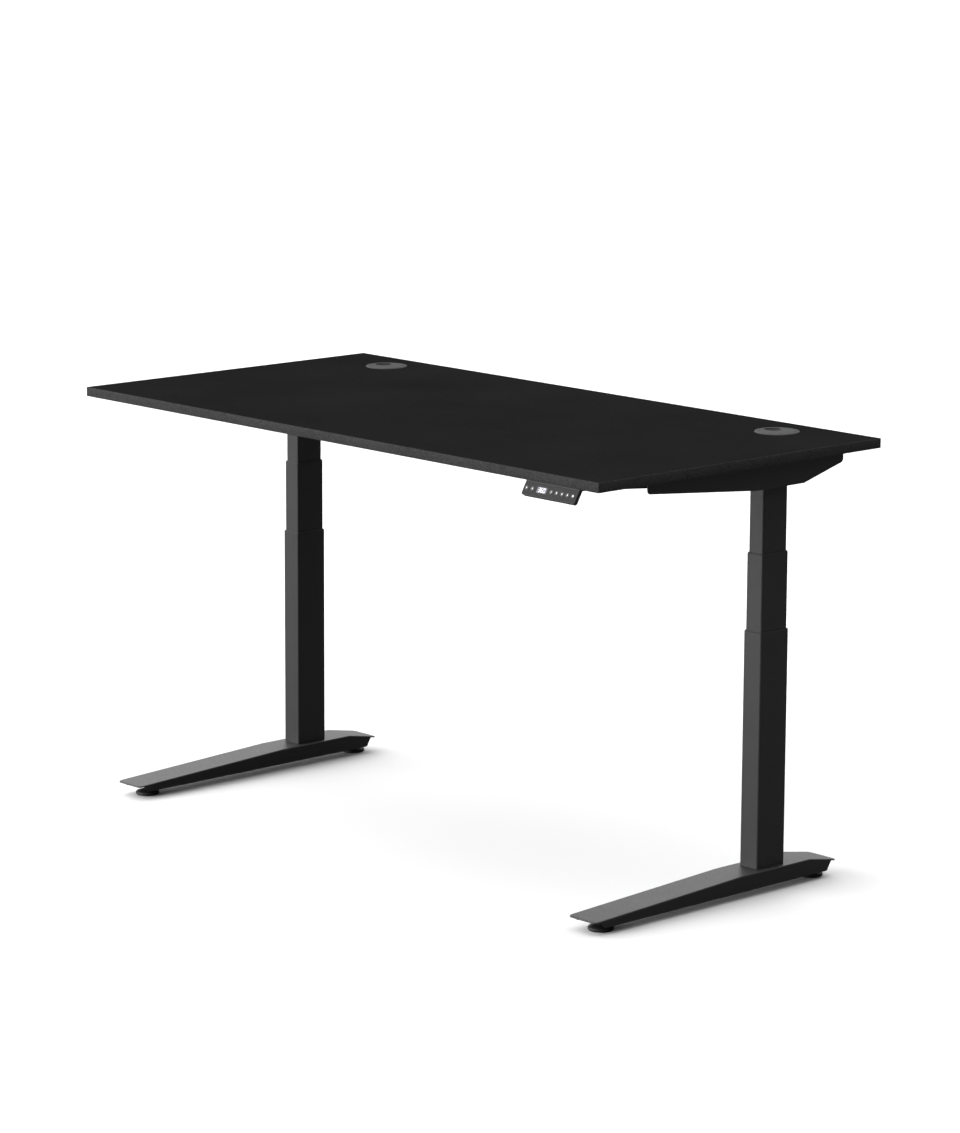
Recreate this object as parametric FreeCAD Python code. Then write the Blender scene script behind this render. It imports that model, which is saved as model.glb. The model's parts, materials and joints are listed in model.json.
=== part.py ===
import FreeCAD, Part
import math
import os

# Height adjustable standing desk with two three-stage electric legs.
# Millimetres, +Z up. The origin is on the floor, under the middle of the desk's plan.
# +X points to the user's right and +Y to the back. The desk is drawn part of the way up its travel.

Vector = FreeCAD.Vector
UP = Vector(0, 0, 1)

# Desktop
TOP_WIDTH = 1600.0
TOP_DEPTH = 800.0
TOP_THICKNESS = 20.0
TOP_HEIGHT = 915.0
EDGE_BAND = 1.0

# Travel of each sliding stage, from the drawn height. Each leg has two sliding stages.
TRAVEL_DOWN = 137.0
TRAVEL_UP = 188.0

# Telescopic columns: outer, middle and inner tube
INNER_WIDTH = 40.0
INNER_DEPTH = 70.0
TUBE_WALL = 1.5
STAGE_GAP = 1.0
TUBE_CORNER = 4.0
COLUMN_INSET = 78.0
COLUMN_SETBACK = 246.0
COLLAPSED_STEP = 23.0
END_GAP = 5.0
BUSH_DEPTH = 30.0
BUSH_LIP = 2.0
BUSH_SET_IN = 0.5
GLIDE_LENGTH = 40.0
GLIDE_GAP = 0.2
BASE_PLATE = 6.0
MIDDLE_PLATE = 5.0
PLATE_RECESS = 5.0

# Drive inside each column
BASE_SCREW_RADIUS = 5.0
HEX_TUBE_FLATS = 16.0
HEX_TUBE_BORE_RADIUS = 5.6
HEX_GAP = 0.3
RUNNING_GAP = 0.05
LIFT_SCREW_RADIUS = 12.0
BEARING_SHOULDER = 2.0
BEARING_COLLAR_HEIGHT = 4.0
AXIAL_GAP = 0.2
DRIVE_NUT_HEIGHT = 25.0
NUT_TUBE_GAP = 1.5
NUT_TUBE_WALL = 2.5
LIFT_NUT_HEIGHT = 30.0
NUT_MARGIN = 10.0
HEX_ENGAGEMENT = 40.0

# Feet
FOOT_WIDTH = 80.0
FOOT_HEIGHT = 50.0
FOOT_SHEET = 3.0
FOOT_FRONT_REACH = 512.0
FOOT_REAR_REACH = 184.0
FOOT_FLAT_FRONT = 96.0
FOOT_FLAT_REAR = 102.0
FOOT_FRONT_TIP_HEIGHT = 31.0
FOOT_REAR_TIP_HEIGHT = 35.5
FOOT_CLEARANCE = 16.0
FOOT_LIP_FRONT = 12.0
FOOT_LIP_REAR = 17.0
FOOT_END_SLANT = 14.0
FOOT_TIP_CORNER = 11.0
FOOT_BOTTOM_CORNER = 5.0
FOOT_FOLD_RADIUS = 2.5

# Levelling feet
LEVELLER_RADIUS = 26.0
LEVELLER_HEIGHT = 12.5
LEVELLER_SOLE_INSET = 3.0
LEVELLER_EDGE = 1.0
LEVELLER_RIM = 2.5
LEVELLER_SHOULDER = 2.5
LEVELLER_STUD_RADIUS = 4.0
LEVELLER_STUD_TOP = 26.0
LEVELLER_FRONT_REACH = 459.0
LEVELLER_REAR_REACH = 146.0
LEVELLER_BRIDGE = 3.0
LEVELLER_NUT_RADIUS = 8.0
LEVELLER_NUT_HEIGHT = 5.0

# Side brackets under the desktop
BRACKET_WIDTH = 80.0
BRACKET_SHEET = 2.5
BRACKET_DEPTH = 56.0
BRACKET_FRONT_DEPTH = 27.5
BRACKET_REAR_DEPTH = 24.5
BRACKET_FRONT_REACH = 383.5
BRACKET_REAR_REACH = 176.0
BRACKET_FLAT_FRONT = 77.0
BRACKET_FLAT_REAR = 61.0
BRACKET_CORNER = 9.0

# Column head, gearbox and motor inside the bracket
HEAD_PLATE = 4.0
HEAD_PLATE_DEPTH = 130.0
SIDE_GAP = 0.5
GEARBOX_DEPTH = 120.0
BOLT_HEAD_GAP = 1.0
HEAD_BOLT_EDGE = 5.5
HEAD_BOLT_END = 8.0
MOTOR_CLEARANCE = 3.75
MOTOR_LENGTH = 82.0
MOTOR_CAP_RADIUS = 9.0
MOTOR_CAP_LENGTH = 6.0

# Cross rails between the brackets
RAIL_WIDTH = 40.0
RAIL_HEIGHT = 25.0
RAIL_WALL = 2.0
RAIL_PLATE = 3.0
RAIL_PLATE_RISE = 9.0
FRONT_RAIL_REACH = 114.0
REAR_RAIL_REACH = 60.0
RAIL_BOLT_SPREAD = 12.0

# Control box
BOX_WIDTH = 260.0
BOX_DEPTH = 100.0
BOX_HEIGHT = 32.0
BOX_WALL = 2.0
BOX_LUG = 14.0
BOX_LUG_HEIGHT = 4.0
BOX_LUG_DEPTH_SHARE = 0.8
BOX_CORNER = 3.0
BOX_HEADROOM = 4.4
CONNECTOR_RIM = 1.2
CONNECTOR_LIFT = 2.0
CONNECTOR_DEPTH = 14.0
INLET_DEPTH = 20.0
TRANSFORMER_SIZE = 40.0
CAPACITOR_RADIUS = 8.0
HEAT_SINK_LENGTH = 70.0
HEAT_SINK_WALL = 3.0
BOX_SETBACK = 280.0
INLET_WIDTH = 28.0
INLET_HEIGHT = 20.0
SOCKET_WIDTH = 16.0
SOCKET_HEIGHT = 11.0
SOCKET_SPACING = 50.0
BOARD_THICKNESS = 1.6

# Handset under the front edge
HANDSET_WIDTH = 148.0
HANDSET_FACE = 30.0
HANDSET_THICKNESS = 9.0
HANDSET_TILT = 30.0
HANDSET_INSET = 52.0
HANDSET_FLANGE = 4.0
HANDSET_FLANGE_DEPTH = 55.0
HANDSET_WALL = 1.6
HANDSET_CORNER = 4.5
FASCIA_THICKNESS = 2.0
FIT_GAP = 0.15
KEY_RADIUS = 4.6
KEY_GAP = 0.3
KEY_PROUD = 0.5
KEY_LENGTH = 4.2
KEY_SKIRT = 1.0
KEY_SKIRT_HEIGHT = 1.0
KEY_PITCH = 15.0
KEY_DOWN_INSET = 9.0
KEY_UP_INSET = 25.0
PRESET_INSET = 77.6
DISPLAY_INSET = 51.0
DISPLAY_WIDTH = 27.0
DISPLAY_HEIGHT = 13.0

# Cable grommets
GROMMET_HOLE_RADIUS = 40.0
GROMMET_LIP = 7.0
GROMMET_CHAMFER = 1.5
GROMMET_FLANGE = 2.0
GROMMET_WALL = 2.0
GROMMET_INSET = 195.0
GROMMET_SETBACK = 100.0
GROMMET_LEDGE = 3.0
LID_THICKNESS = 3.0
LID_GAP = 0.4
NOTCH_WIDTH = 36.0
NOTCH_START = 3.0
NOTCH_ANGLE = 155.0

# Fasteners
SCREW_RADIUS = 2.5
SCREW_BITE = 14.0
SCREW_HEAD_RADIUS = 5.0
SCREW_HEAD = 3.0
M6_RADIUS = 3.0
M6_HEAD_RADIUS = 5.5
M6_HEAD = 3.2
M6_NUT = 5.0
M8_RADIUS = 4.0
M8_HEAD_RADIUS = 7.0
M8_HEAD = 5.0
M8_EDGE = 9.5
M8_END = 11.5
CLEARANCE_HOLE = 0.25
SCREW_END_MARGIN = 30.0
SCREW_EDGE = 13.0

# Sizes and places that follow from the sizes above
STAGE_STEP = 2 * (TUBE_WALL + STAGE_GAP)
STAGE_WIDTHS = (INNER_WIDTH + 2 * STAGE_STEP, INNER_WIDTH + STAGE_STEP, INNER_WIDTH)
STAGE_DEPTHS = (INNER_DEPTH + 2 * STAGE_STEP, INNER_DEPTH + STAGE_STEP, INNER_DEPTH)
GLIDE_THICKNESS = STAGE_GAP - GLIDE_GAP
BEARING_COLLAR_RADIUS = LIFT_SCREW_RADIUS
BEARING_RADIUS = BEARING_COLLAR_RADIUS - BEARING_SHOULDER
NUT_TUBE_RADIUS = LIFT_SCREW_RADIUS + NUT_TUBE_GAP + NUT_TUBE_WALL
M8_SPREAD_X = STAGE_WIDTHS[0] / 2 - TUBE_WALL - M8_EDGE
M8_SPREAD_Y = STAGE_DEPTHS[0] / 2 - TUBE_WALL - M8_END
SCREW_SPREAD_X = BRACKET_WIDTH / 2 - SCREW_EDGE
RAIL_PLATE_HEIGHT = BRACKET_DEPTH - RAIL_PLATE_RISE
GROMMET_FLANGE_RADIUS = GROMMET_HOLE_RADIUS + GROMMET_LIP
TALL_PART_HEIGHT = BOX_HEIGHT - 2 * BOX_WALL - BOARD_THICKNESS - BOX_HEADROOM
HANDSET_OVERHANG = HANDSET_FACE * math.sin(math.radians(HANDSET_TILT))
TOP_Y = HANDSET_OVERHANG / 2
FRONT_EDGE = TOP_Y - TOP_DEPTH / 2
BACK_EDGE = TOP_Y + TOP_DEPTH / 2
TOP_UNDERSIDE = TOP_HEIGHT - TOP_THICKNESS
COLUMN_X = TOP_WIDTH / 2 - COLUMN_INSET
COLUMN_Y = BACK_EDGE - COLUMN_SETBACK
HEAD_TOP = TOP_UNDERSIDE - BRACKET_DEPTH + BRACKET_SHEET + HEAD_PLATE
HEAD_BOTTOM = HEAD_TOP - HEAD_PLATE
BASE_PLATE_TOP = FOOT_HEIGHT + BASE_PLATE
MIDDLE_BOTTOM = BASE_PLATE_TOP + TRAVEL_DOWN + END_GAP + BUSH_LIP
MIDDLE_TOP = HEAD_BOTTOM - TRAVEL_DOWN - END_GAP
OUTER_TOP = MIDDLE_TOP - TRAVEL_DOWN - COLLAPSED_STEP
MIDDLE_PLATE_TOP = MIDDLE_BOTTOM + PLATE_RECESS + MIDDLE_PLATE
COLLAR_TOP = MIDDLE_PLATE_TOP + AXIAL_GAP + BEARING_COLLAR_HEIGHT
INNER_BOTTOM = MIDDLE_PLATE_TOP + TRAVEL_DOWN + END_GAP
LIFT_SCREW_BOTTOM = COLLAR_TOP + TRAVEL_DOWN + END_GAP
LIFT_NUT_BOTTOM = LIFT_SCREW_BOTTOM + TRAVEL_UP + NUT_MARGIN
HEX_TUBE_TOP = LIFT_SCREW_BOTTOM + TRAVEL_UP + HEX_ENGAGEMENT
BASE_SCREW_TOP = COLLAR_TOP + DRIVE_NUT_HEIGHT + TRAVEL_UP + NUT_MARGIN
GEARBOX_TOP = TOP_UNDERSIDE - BRACKET_SHEET - SIDE_GAP
MOTOR_RADIUS = (GEARBOX_TOP - HEAD_TOP) / 2 - MOTOR_CLEARANCE
GEARBOX_WIDTH = BRACKET_WIDTH - 2 * (BRACKET_SHEET + M6_HEAD + BOLT_HEAD_GAP)
HEAD_BOLT_X = GEARBOX_WIDTH / 2 - HEAD_BOLT_EDGE
HEAD_BOLT_Y = GEARBOX_DEPTH / 2 - HEAD_BOLT_END
GROMMET_X = TOP_WIDTH / 2 - GROMMET_INSET
GROMMET_Y = BACK_EDGE - GROMMET_SETBACK
FRONT_RAIL_Y = COLUMN_Y - FRONT_RAIL_REACH
REAR_RAIL_Y = COLUMN_Y + REAR_RAIL_REACH
RAIL_END_X = COLUMN_X - BRACKET_WIDTH / 2
BOX_Y = BACK_EDGE - BOX_SETBACK
HANDSET_LEFT = TOP_WIDTH / 2 - HANDSET_INSET - HANDSET_WIDTH
SIDES = {"left": -1, "right": 1}


def box(x0, x1, y0, y1, z0, z1):
    """A block between two corners."""
    return Part.makeBox(x1 - x0, y1 - y0, z1 - z0, Vector(x0, y0, z0))


def rod(radius, x, y, z0, z1):
    """An upright cylinder."""
    return Part.makeCylinder(radius, z1 - z0, Vector(x, y, z0), UP)


def rod_x(radius, x0, x1, y, z):
    """A cylinder along X."""
    return Part.makeCylinder(radius, x1 - x0, Vector(x0, y, z), Vector(1, 0, 0))


def hexagon(flats, x, y, z0, z1):
    """An upright hexagonal bar."""
    radius = flats / math.sqrt(3)
    corners = [Vector(x + radius * math.cos(math.radians(60 * i)),
                      y + radius * math.sin(math.radians(60 * i)), z0) for i in range(6)]
    face = Part.Face(Part.makePolygon(corners + corners[:1]))
    return face.extrude(Vector(0, 0, z1 - z0))


def rounded_bar(width, depth, corner, x, y, z0, z1):
    """An upright bar with a rounded rectangular section."""
    bar = box(x - width / 2, x + width / 2, y - depth / 2, y + depth / 2, z0, z1)
    upright = [e for e in bar.Edges if abs(e.tangentAt(e.FirstParameter).z) > 0.9]
    return bar.makeFillet(corner, upright)


def rounded_tube(width, depth, corner, wall, x, y, z0, z1):
    """A rectangular tube with rounded corners."""
    inside_corner = max(corner - wall, wall / 2)
    outside = rounded_bar(width, depth, corner, x, y, z0, z1)
    inside = rounded_bar(width - 2 * wall, depth - 2 * wall, inside_corner, x, y, z0, z1)
    return outside.cut(inside)


def side_profile(points, x0, x1):
    """A plate with the outline given in Y and Z, from x0 to x1."""
    corners = [Vector(x0, y, z) for y, z in points]
    face = Part.Face(Part.makePolygon(corners + corners[:1]))
    return face.extrude(Vector(x1 - x0, 0, 0))


def along(shape, direction, tolerance=0.01):
    """The straight edges of a shape that run along a direction."""
    chosen = []
    for edge in shape.Edges:
        tangent = edge.tangentAt(edge.FirstParameter)
        straight = edge.Curve.TypeId == "Part::GeomLine"
        if straight and abs(abs(tangent.dot(direction)) - 1) < tolerance:
            chosen.append(edge)
    return chosen


def fuse(shapes):
    """One solid from overlapping or touching solids."""
    return shapes[0].multiFuse(shapes[1:]).removeSplitter()


def revolve(points, x, y):
    """A turned piece about an upright axis, from radius and height pairs."""
    corners = [Vector(x + r, y, z) for r, z in points]
    face = Part.Face(Part.makePolygon(corners + corners[:1]))
    return face.revolve(Vector(x, y, 0), UP, 360)


def foot_top_height(reach):
    """Height of the foot's upper face at a distance in front of (-) or behind (+) the column."""
    if reach < -FOOT_FLAT_FRONT:
        share = (reach + FOOT_FRONT_REACH) / (FOOT_FRONT_REACH - FOOT_FLAT_FRONT)
        return FOOT_FRONT_TIP_HEIGHT + share * (FOOT_HEIGHT - FOOT_FRONT_TIP_HEIGHT)
    if reach > FOOT_FLAT_REAR:
        share = (FOOT_REAR_REACH - reach) / (FOOT_REAR_REACH - FOOT_FLAT_REAR)
        return FOOT_REAR_TIP_HEIGHT + share * (FOOT_HEIGHT - FOOT_REAR_TIP_HEIGHT)
    return FOOT_HEIGHT


def foot_strip(x):
    """The foot's upper sheet: flat around the column, sloping to a thin lip at each end."""
    reaches = (-FOOT_FRONT_REACH, -FOOT_FLAT_FRONT, FOOT_FLAT_REAR, FOOT_REAR_REACH)
    upper = [(COLUMN_Y + r, foot_top_height(r)) for r in reaches]
    lower = [(y, z - FOOT_SHEET) for y, z in reversed(upper)]
    strip = side_profile(upper + lower, x - FOOT_WIDTH / 2, x + FOOT_WIDTH / 2)
    ends = [e for e in along(strip, UP, 0.2) if e.Length < 2 * FOOT_SHEET]
    return strip.makeFillet(FOOT_TIP_CORNER, ends)


def foot_flange(x0, x1):
    """One side wall of the foot, with slanted ends set back behind the lips."""
    front = -FOOT_FRONT_REACH + FOOT_LIP_FRONT
    rear = FOOT_REAR_REACH - FOOT_LIP_REAR
    tuck = FOOT_SHEET / 2
    points = [(front, foot_top_height(front) - tuck),
              (-FOOT_FLAT_FRONT, FOOT_HEIGHT - tuck),
              (FOOT_FLAT_REAR, FOOT_HEIGHT - tuck),
              (rear, foot_top_height(rear) - tuck),
              (rear - FOOT_END_SLANT, FOOT_CLEARANCE),
              (front + FOOT_END_SLANT, FOOT_CLEARANCE)]
    wall = side_profile([(COLUMN_Y + r, z) for r, z in points], x0, x1)
    corners = [e for e in along(wall, Vector(1, 0, 0)) if e.BoundBox.ZMax < FOOT_CLEARANCE + 0.1]
    return wall.makeFillet(FOOT_BOTTOM_CORNER, corners)


def leveller_places(x):
    """The places of a foot's two levellers."""
    return [(x, COLUMN_Y - LEVELLER_FRONT_REACH), (x, COLUMN_Y + LEVELLER_REAR_REACH)]


def leveller_bridge(x, y):
    """A cross plate with a welded nut, tapped for a leveller's stud."""
    half = FOOT_WIDTH / 2 - FOOT_SHEET / 2
    bottom = FOOT_CLEARANCE + FOOT_SHEET / 2
    plate = box(x - half, x + half, y - LEVELLER_NUT_RADIUS * 1.5, y + LEVELLER_NUT_RADIUS * 1.5,
                bottom, bottom + LEVELLER_BRIDGE)
    nut_top = bottom + LEVELLER_BRIDGE + LEVELLER_NUT_HEIGHT
    nut = hexagon(LEVELLER_NUT_RADIUS * 2, x, y, bottom, nut_top)
    hole = rod(LEVELLER_STUD_RADIUS + RUNNING_GAP, x, y, bottom - 1, nut_top + 1)
    return fuse([plate, nut]).cut(hole)


def foot_bolt_places(x):
    """The four bolts that hold a column to its foot."""
    return [(x + sx * M8_SPREAD_X, COLUMN_Y + sy * M8_SPREAD_Y) for sx in (-1, 1) for sy in (-1, 1)]


def foot_fold_edges(body, x):
    """The long upper edges where the foot's sheet is folded down."""
    folds = []
    for edge in body.Edges:
        bounds = edge.BoundBox
        on_side = bounds.XLength < 0.01 and abs(abs(bounds.XMin - x) - FOOT_WIDTH / 2) < 0.01
        reach = (bounds.YMin + bounds.YMax) / 2 - COLUMN_Y
        on_top = abs((bounds.ZMin + bounds.ZMax) / 2 - foot_top_height(reach)) < 0.2
        if on_side and on_top and edge.Length > 2 * FOOT_TIP_CORNER:
            folds.append(edge)
    return folds


def foot(x):
    """A foot folded from sheet, as an upside-down channel."""
    half = FOOT_WIDTH / 2
    pieces = [foot_strip(x)]
    pieces.append(foot_flange(x - half, x - half + FOOT_SHEET))
    pieces.append(foot_flange(x + half - FOOT_SHEET, x + half))
    pieces += [leveller_bridge(*place) for place in leveller_places(x)]
    body = fuse(pieces)
    body = body.makeFillet(FOOT_FOLD_RADIUS, foot_fold_edges(body, x))
    for px, py in foot_bolt_places(x):
        body = body.cut(rod(M8_RADIUS + CLEARANCE_HOLE, px, py, 0, FOOT_HEIGHT + 1))
    return body


def foot_bolts(x):
    """Four bolts, up through the foot into the base plate of the column."""
    bolts = []
    for px, py in foot_bolt_places(x):
        seat = FOOT_HEIGHT - FOOT_SHEET
        head = hexagon(M8_HEAD_RADIUS * 2 * math.cos(math.radians(30)), px, py, seat - M8_HEAD, seat)
        bolts.append(fuse([head, rod(M8_RADIUS, px, py, seat - 1, BASE_PLATE_TOP)]))
    return Part.makeCompound(bolts)


def leveller(x, y):
    """A domed pad on a threaded stud."""
    sole = LEVELLER_RADIUS - LEVELLER_SOLE_INSET
    rim_bottom = LEVELLER_SOLE_INSET
    rim_top = rim_bottom + LEVELLER_RIM
    shoulder = rim_top + LEVELLER_SHOULDER
    points = [(0, 0), (sole, 0), (LEVELLER_RADIUS - LEVELLER_EDGE, LEVELLER_EDGE),
              (LEVELLER_RADIUS, rim_bottom), (LEVELLER_RADIUS, rim_top),
              (LEVELLER_RADIUS - 2 * LEVELLER_EDGE, shoulder),
              (LEVELLER_RADIUS / 2, LEVELLER_HEIGHT - LEVELLER_EDGE),
              (LEVELLER_STUD_RADIUS, LEVELLER_HEIGHT), (LEVELLER_STUD_RADIUS, LEVELLER_STUD_TOP),
              (0, LEVELLER_STUD_TOP)]
    return revolve(points, x, y)


def outer_tube(x):
    """The lowest, largest column tube, closed below by a plate that the foot bolts into."""
    width, depth = STAGE_WIDTHS[0], STAGE_DEPTHS[0]
    tube = rounded_tube(width, depth, TUBE_CORNER, TUBE_WALL, x, COLUMN_Y, FOOT_HEIGHT, OUTER_TOP)
    corner = TUBE_CORNER - TUBE_WALL / 2
    plate = rounded_bar(width - TUBE_WALL, depth - TUBE_WALL, corner, x, COLUMN_Y,
                        FOOT_HEIGHT, BASE_PLATE_TOP)
    column = fuse([tube, plate])
    for px, py in foot_bolt_places(x):
        column = column.cut(rod(M8_RADIUS + RUNNING_GAP, px, py, FOOT_HEIGHT - 1, BASE_PLATE_TOP + 1))
    return column


def mouth_bush(x, stage, top):
    """A plastic lining in a tube's mouth, with a lip over the cut edge."""
    width = STAGE_WIDTHS[stage]
    depth = STAGE_DEPTHS[stage]
    inner_width = width - 2 * TUBE_WALL
    inner_depth = depth - 2 * TUBE_WALL
    corner = TUBE_CORNER - TUBE_WALL
    lining = rounded_tube(inner_width, inner_depth, corner, GLIDE_THICKNESS, x, COLUMN_Y,
                          top - BUSH_DEPTH, top)
    lip_width = width - 2 * BUSH_SET_IN
    lip_depth = depth - 2 * BUSH_SET_IN
    lip_wall = TUBE_WALL - BUSH_SET_IN + GLIDE_THICKNESS
    lip = rounded_tube(lip_width, lip_depth, TUBE_CORNER - BUSH_SET_IN, lip_wall, x, COLUMN_Y,
                       top, top + BUSH_LIP)
    return fuse([lining, lip])


def lower_glide(x, stage, bottom):
    """A plastic sleeve around the lower end of a sliding tube."""
    width = STAGE_WIDTHS[stage] + 2 * GLIDE_THICKNESS
    depth = STAGE_DEPTHS[stage] + 2 * GLIDE_THICKNESS
    corner = TUBE_CORNER + GLIDE_THICKNESS
    sleeve = rounded_bar(width, depth, corner, x, COLUMN_Y, bottom, bottom + GLIDE_LENGTH)
    core = rounded_bar(STAGE_WIDTHS[stage], STAGE_DEPTHS[stage], TUBE_CORNER, x, COLUMN_Y,
                       bottom, bottom + GLIDE_LENGTH)
    return sleeve.cut(core)


def base_screw(x):
    """The fixed screw that stands on the column's base plate."""
    return rod(BASE_SCREW_RADIUS, x, COLUMN_Y, BASE_PLATE_TOP, BASE_SCREW_TOP)


def middle_tube(x):
    """The middle column tube, with a plate near its lower end that carries the drive's bearing."""
    width, depth = STAGE_WIDTHS[1], STAGE_DEPTHS[1]
    tube = rounded_tube(width, depth, TUBE_CORNER, TUBE_WALL, x, COLUMN_Y, MIDDLE_BOTTOM, MIDDLE_TOP)
    plate = rounded_bar(width - TUBE_WALL, depth - TUBE_WALL, TUBE_CORNER - TUBE_WALL / 2, x, COLUMN_Y,
                        MIDDLE_PLATE_TOP - MIDDLE_PLATE, MIDDLE_PLATE_TOP)
    hole = rod(BEARING_RADIUS + RUNNING_GAP, x, COLUMN_Y, MIDDLE_BOTTOM, MIDDLE_PLATE_TOP + 1)
    return fuse([tube, plate]).cut(hole)


def drive_tube(x):
    """The turning hexagonal tube: nut and bearing journal at its foot, hexagon above."""
    plate_bottom = MIDDLE_PLATE_TOP - MIDDLE_PLATE
    ring_bottom = plate_bottom - AXIAL_GAP - BEARING_COLLAR_HEIGHT
    ring = rod(BEARING_COLLAR_RADIUS, x, COLUMN_Y, ring_bottom, plate_bottom - AXIAL_GAP)
    journal = rod(BEARING_RADIUS, x, COLUMN_Y, ring_bottom, COLLAR_TOP)
    collar = rod(BEARING_COLLAR_RADIUS, x, COLUMN_Y, MIDDLE_PLATE_TOP + AXIAL_GAP, COLLAR_TOP)
    stem = hexagon(HEX_TUBE_FLATS, x, COLUMN_Y, COLLAR_TOP - 1, HEX_TUBE_TOP)
    nut_top = COLLAR_TOP + DRIVE_NUT_HEIGHT
    nut_bore = rod(BASE_SCREW_RADIUS + RUNNING_GAP, x, COLUMN_Y, ring_bottom, nut_top)
    long_bore = rod(HEX_TUBE_BORE_RADIUS, x, COLUMN_Y, nut_top, HEX_TUBE_TOP)
    return fuse([ring, journal, collar, stem]).cut(nut_bore).cut(long_bore)


def lift_screw(x):
    """The hollow turning screw that hangs from the gearbox, with a hexagonal bore."""
    top = GEARBOX_TOP - SIDE_GAP * 4
    screw = rod(LIFT_SCREW_RADIUS, x, COLUMN_Y, LIFT_SCREW_BOTTOM, top)
    bore = hexagon(HEX_TUBE_FLATS + 2 * HEX_GAP, x, COLUMN_Y, LIFT_SCREW_BOTTOM - 1, top - HEAD_PLATE)
    return screw.cut(bore)


def nut_tube(x):
    """The tube that stands on the middle plate and holds the lift nut up."""
    outside = rod(NUT_TUBE_RADIUS, x, COLUMN_Y, MIDDLE_PLATE_TOP, LIFT_NUT_BOTTOM)
    inside = rod(NUT_TUBE_RADIUS - NUT_TUBE_WALL, x, COLUMN_Y, MIDDLE_PLATE_TOP, LIFT_NUT_BOTTOM)
    return outside.cut(inside)


def lift_nut(x):
    """The plastic nut that the lift screw turns in."""
    nut = rod(NUT_TUBE_RADIUS, x, COLUMN_Y, LIFT_NUT_BOTTOM, LIFT_NUT_BOTTOM + LIFT_NUT_HEIGHT)
    bore = rod(LIFT_SCREW_RADIUS + RUNNING_GAP, x, COLUMN_Y, LIFT_NUT_BOTTOM,
               LIFT_NUT_BOTTOM + LIFT_NUT_HEIGHT)
    return nut.cut(bore)


def head_bolt_places(x):
    """The four bolts that hold column head, gearbox and bracket together."""
    return [(x + sx * HEAD_BOLT_X, COLUMN_Y + sy * HEAD_BOLT_Y) for sx in (-1, 1) for sy in (-1, 1)]


def inner_tube(x):
    """The innermost column tube with the head plate welded on its top."""
    tube = rounded_tube(STAGE_WIDTHS[2], STAGE_DEPTHS[2], TUBE_CORNER, TUBE_WALL, x, COLUMN_Y,
                        INNER_BOTTOM, HEAD_BOTTOM + HEAD_PLATE / 2)
    half_width = BRACKET_WIDTH / 2 - BRACKET_SHEET - SIDE_GAP
    plate = box(x - half_width, x + half_width, COLUMN_Y - HEAD_PLATE_DEPTH / 2,
                COLUMN_Y + HEAD_PLATE_DEPTH / 2, HEAD_BOTTOM, HEAD_TOP)
    column = fuse([tube, plate])
    column = column.cut(rod(LIFT_SCREW_RADIUS + 1, x, COLUMN_Y, HEAD_BOTTOM - 1, HEAD_TOP + 1))
    for px, py in head_bolt_places(x):
        column = column.cut(rod(M6_RADIUS + CLEARANCE_HOLE, px, py, HEAD_BOTTOM - 1, HEAD_TOP + 1))
    return column


def gearbox(x):
    """The right-angle gearbox on the column head, bored for the lift screw."""
    case = rounded_bar(GEARBOX_WIDTH, GEARBOX_DEPTH, TUBE_CORNER, x, COLUMN_Y, HEAD_TOP, GEARBOX_TOP)
    case = case.cut(rod(LIFT_SCREW_RADIUS + RUNNING_GAP, x, COLUMN_Y, HEAD_TOP,
                        GEARBOX_TOP - SIDE_GAP * 3))
    for px, py in head_bolt_places(x):
        case = case.cut(rod(M6_RADIUS + CLEARANCE_HOLE, px, py, HEAD_TOP - 1, GEARBOX_TOP + 1))
    return case


def motor(x):
    """The drive motor, lying along the bracket in front of the gearbox."""
    back = COLUMN_Y - GEARBOX_DEPTH / 2
    middle = (HEAD_TOP + GEARBOX_TOP) / 2
    forward = Vector(0, -1, 0)
    can = Part.makeCylinder(MOTOR_RADIUS, MOTOR_LENGTH, Vector(x, back, middle), forward)
    cap = Part.makeCylinder(MOTOR_CAP_RADIUS, MOTOR_CAP_LENGTH + 1,
                            Vector(x, back - MOTOR_LENGTH + 1, middle), forward)
    return fuse([can, cap])


def bracket_screw_places(x):
    """The four wood screws that hold a bracket to the desktop."""
    rows = (COLUMN_Y - BRACKET_FRONT_REACH + SCREW_END_MARGIN,
            COLUMN_Y + BRACKET_REAR_REACH - SCREW_END_MARGIN)
    return [(x + sx * SCREW_SPREAD_X, y) for sx in (-1, 1) for y in rows]


def bracket_flange(x0, x1):
    """One side wall of a bracket: deep at the column, tapering to both ends."""
    points = [(-BRACKET_FRONT_REACH, 0.5), (BRACKET_REAR_REACH, 0.5),
              (BRACKET_REAR_REACH, BRACKET_REAR_DEPTH), (BRACKET_FLAT_REAR, BRACKET_DEPTH),
              (-BRACKET_FLAT_FRONT, BRACKET_DEPTH), (-BRACKET_FRONT_REACH, BRACKET_FRONT_DEPTH)]
    wall = side_profile([(COLUMN_Y + r, TOP_UNDERSIDE - d) for r, d in points], x0, x1)
    corners = []
    for edge in along(wall, Vector(1, 0, 0)):
        reach = edge.BoundBox.YMin - COLUMN_Y
        at_end = reach < -BRACKET_FRONT_REACH + 1 or reach > BRACKET_REAR_REACH - 1
        if at_end and edge.BoundBox.ZMax < TOP_UNDERSIDE - BRACKET_SHEET * 2:
            corners.append(edge)
    return wall.makeFillet(BRACKET_CORNER, corners)


def rail_bolt_places(side):
    """The bolts along X that hold both rails to one bracket."""
    level = TOP_UNDERSIDE - RAIL_HEIGHT - (RAIL_PLATE_HEIGHT - RAIL_HEIGHT) / 2
    x0 = side * RAIL_END_X
    return [(x0, y + s * RAIL_BOLT_SPREAD, level) for y in (FRONT_RAIL_Y, REAR_RAIL_Y) for s in (-1, 1)]


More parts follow.
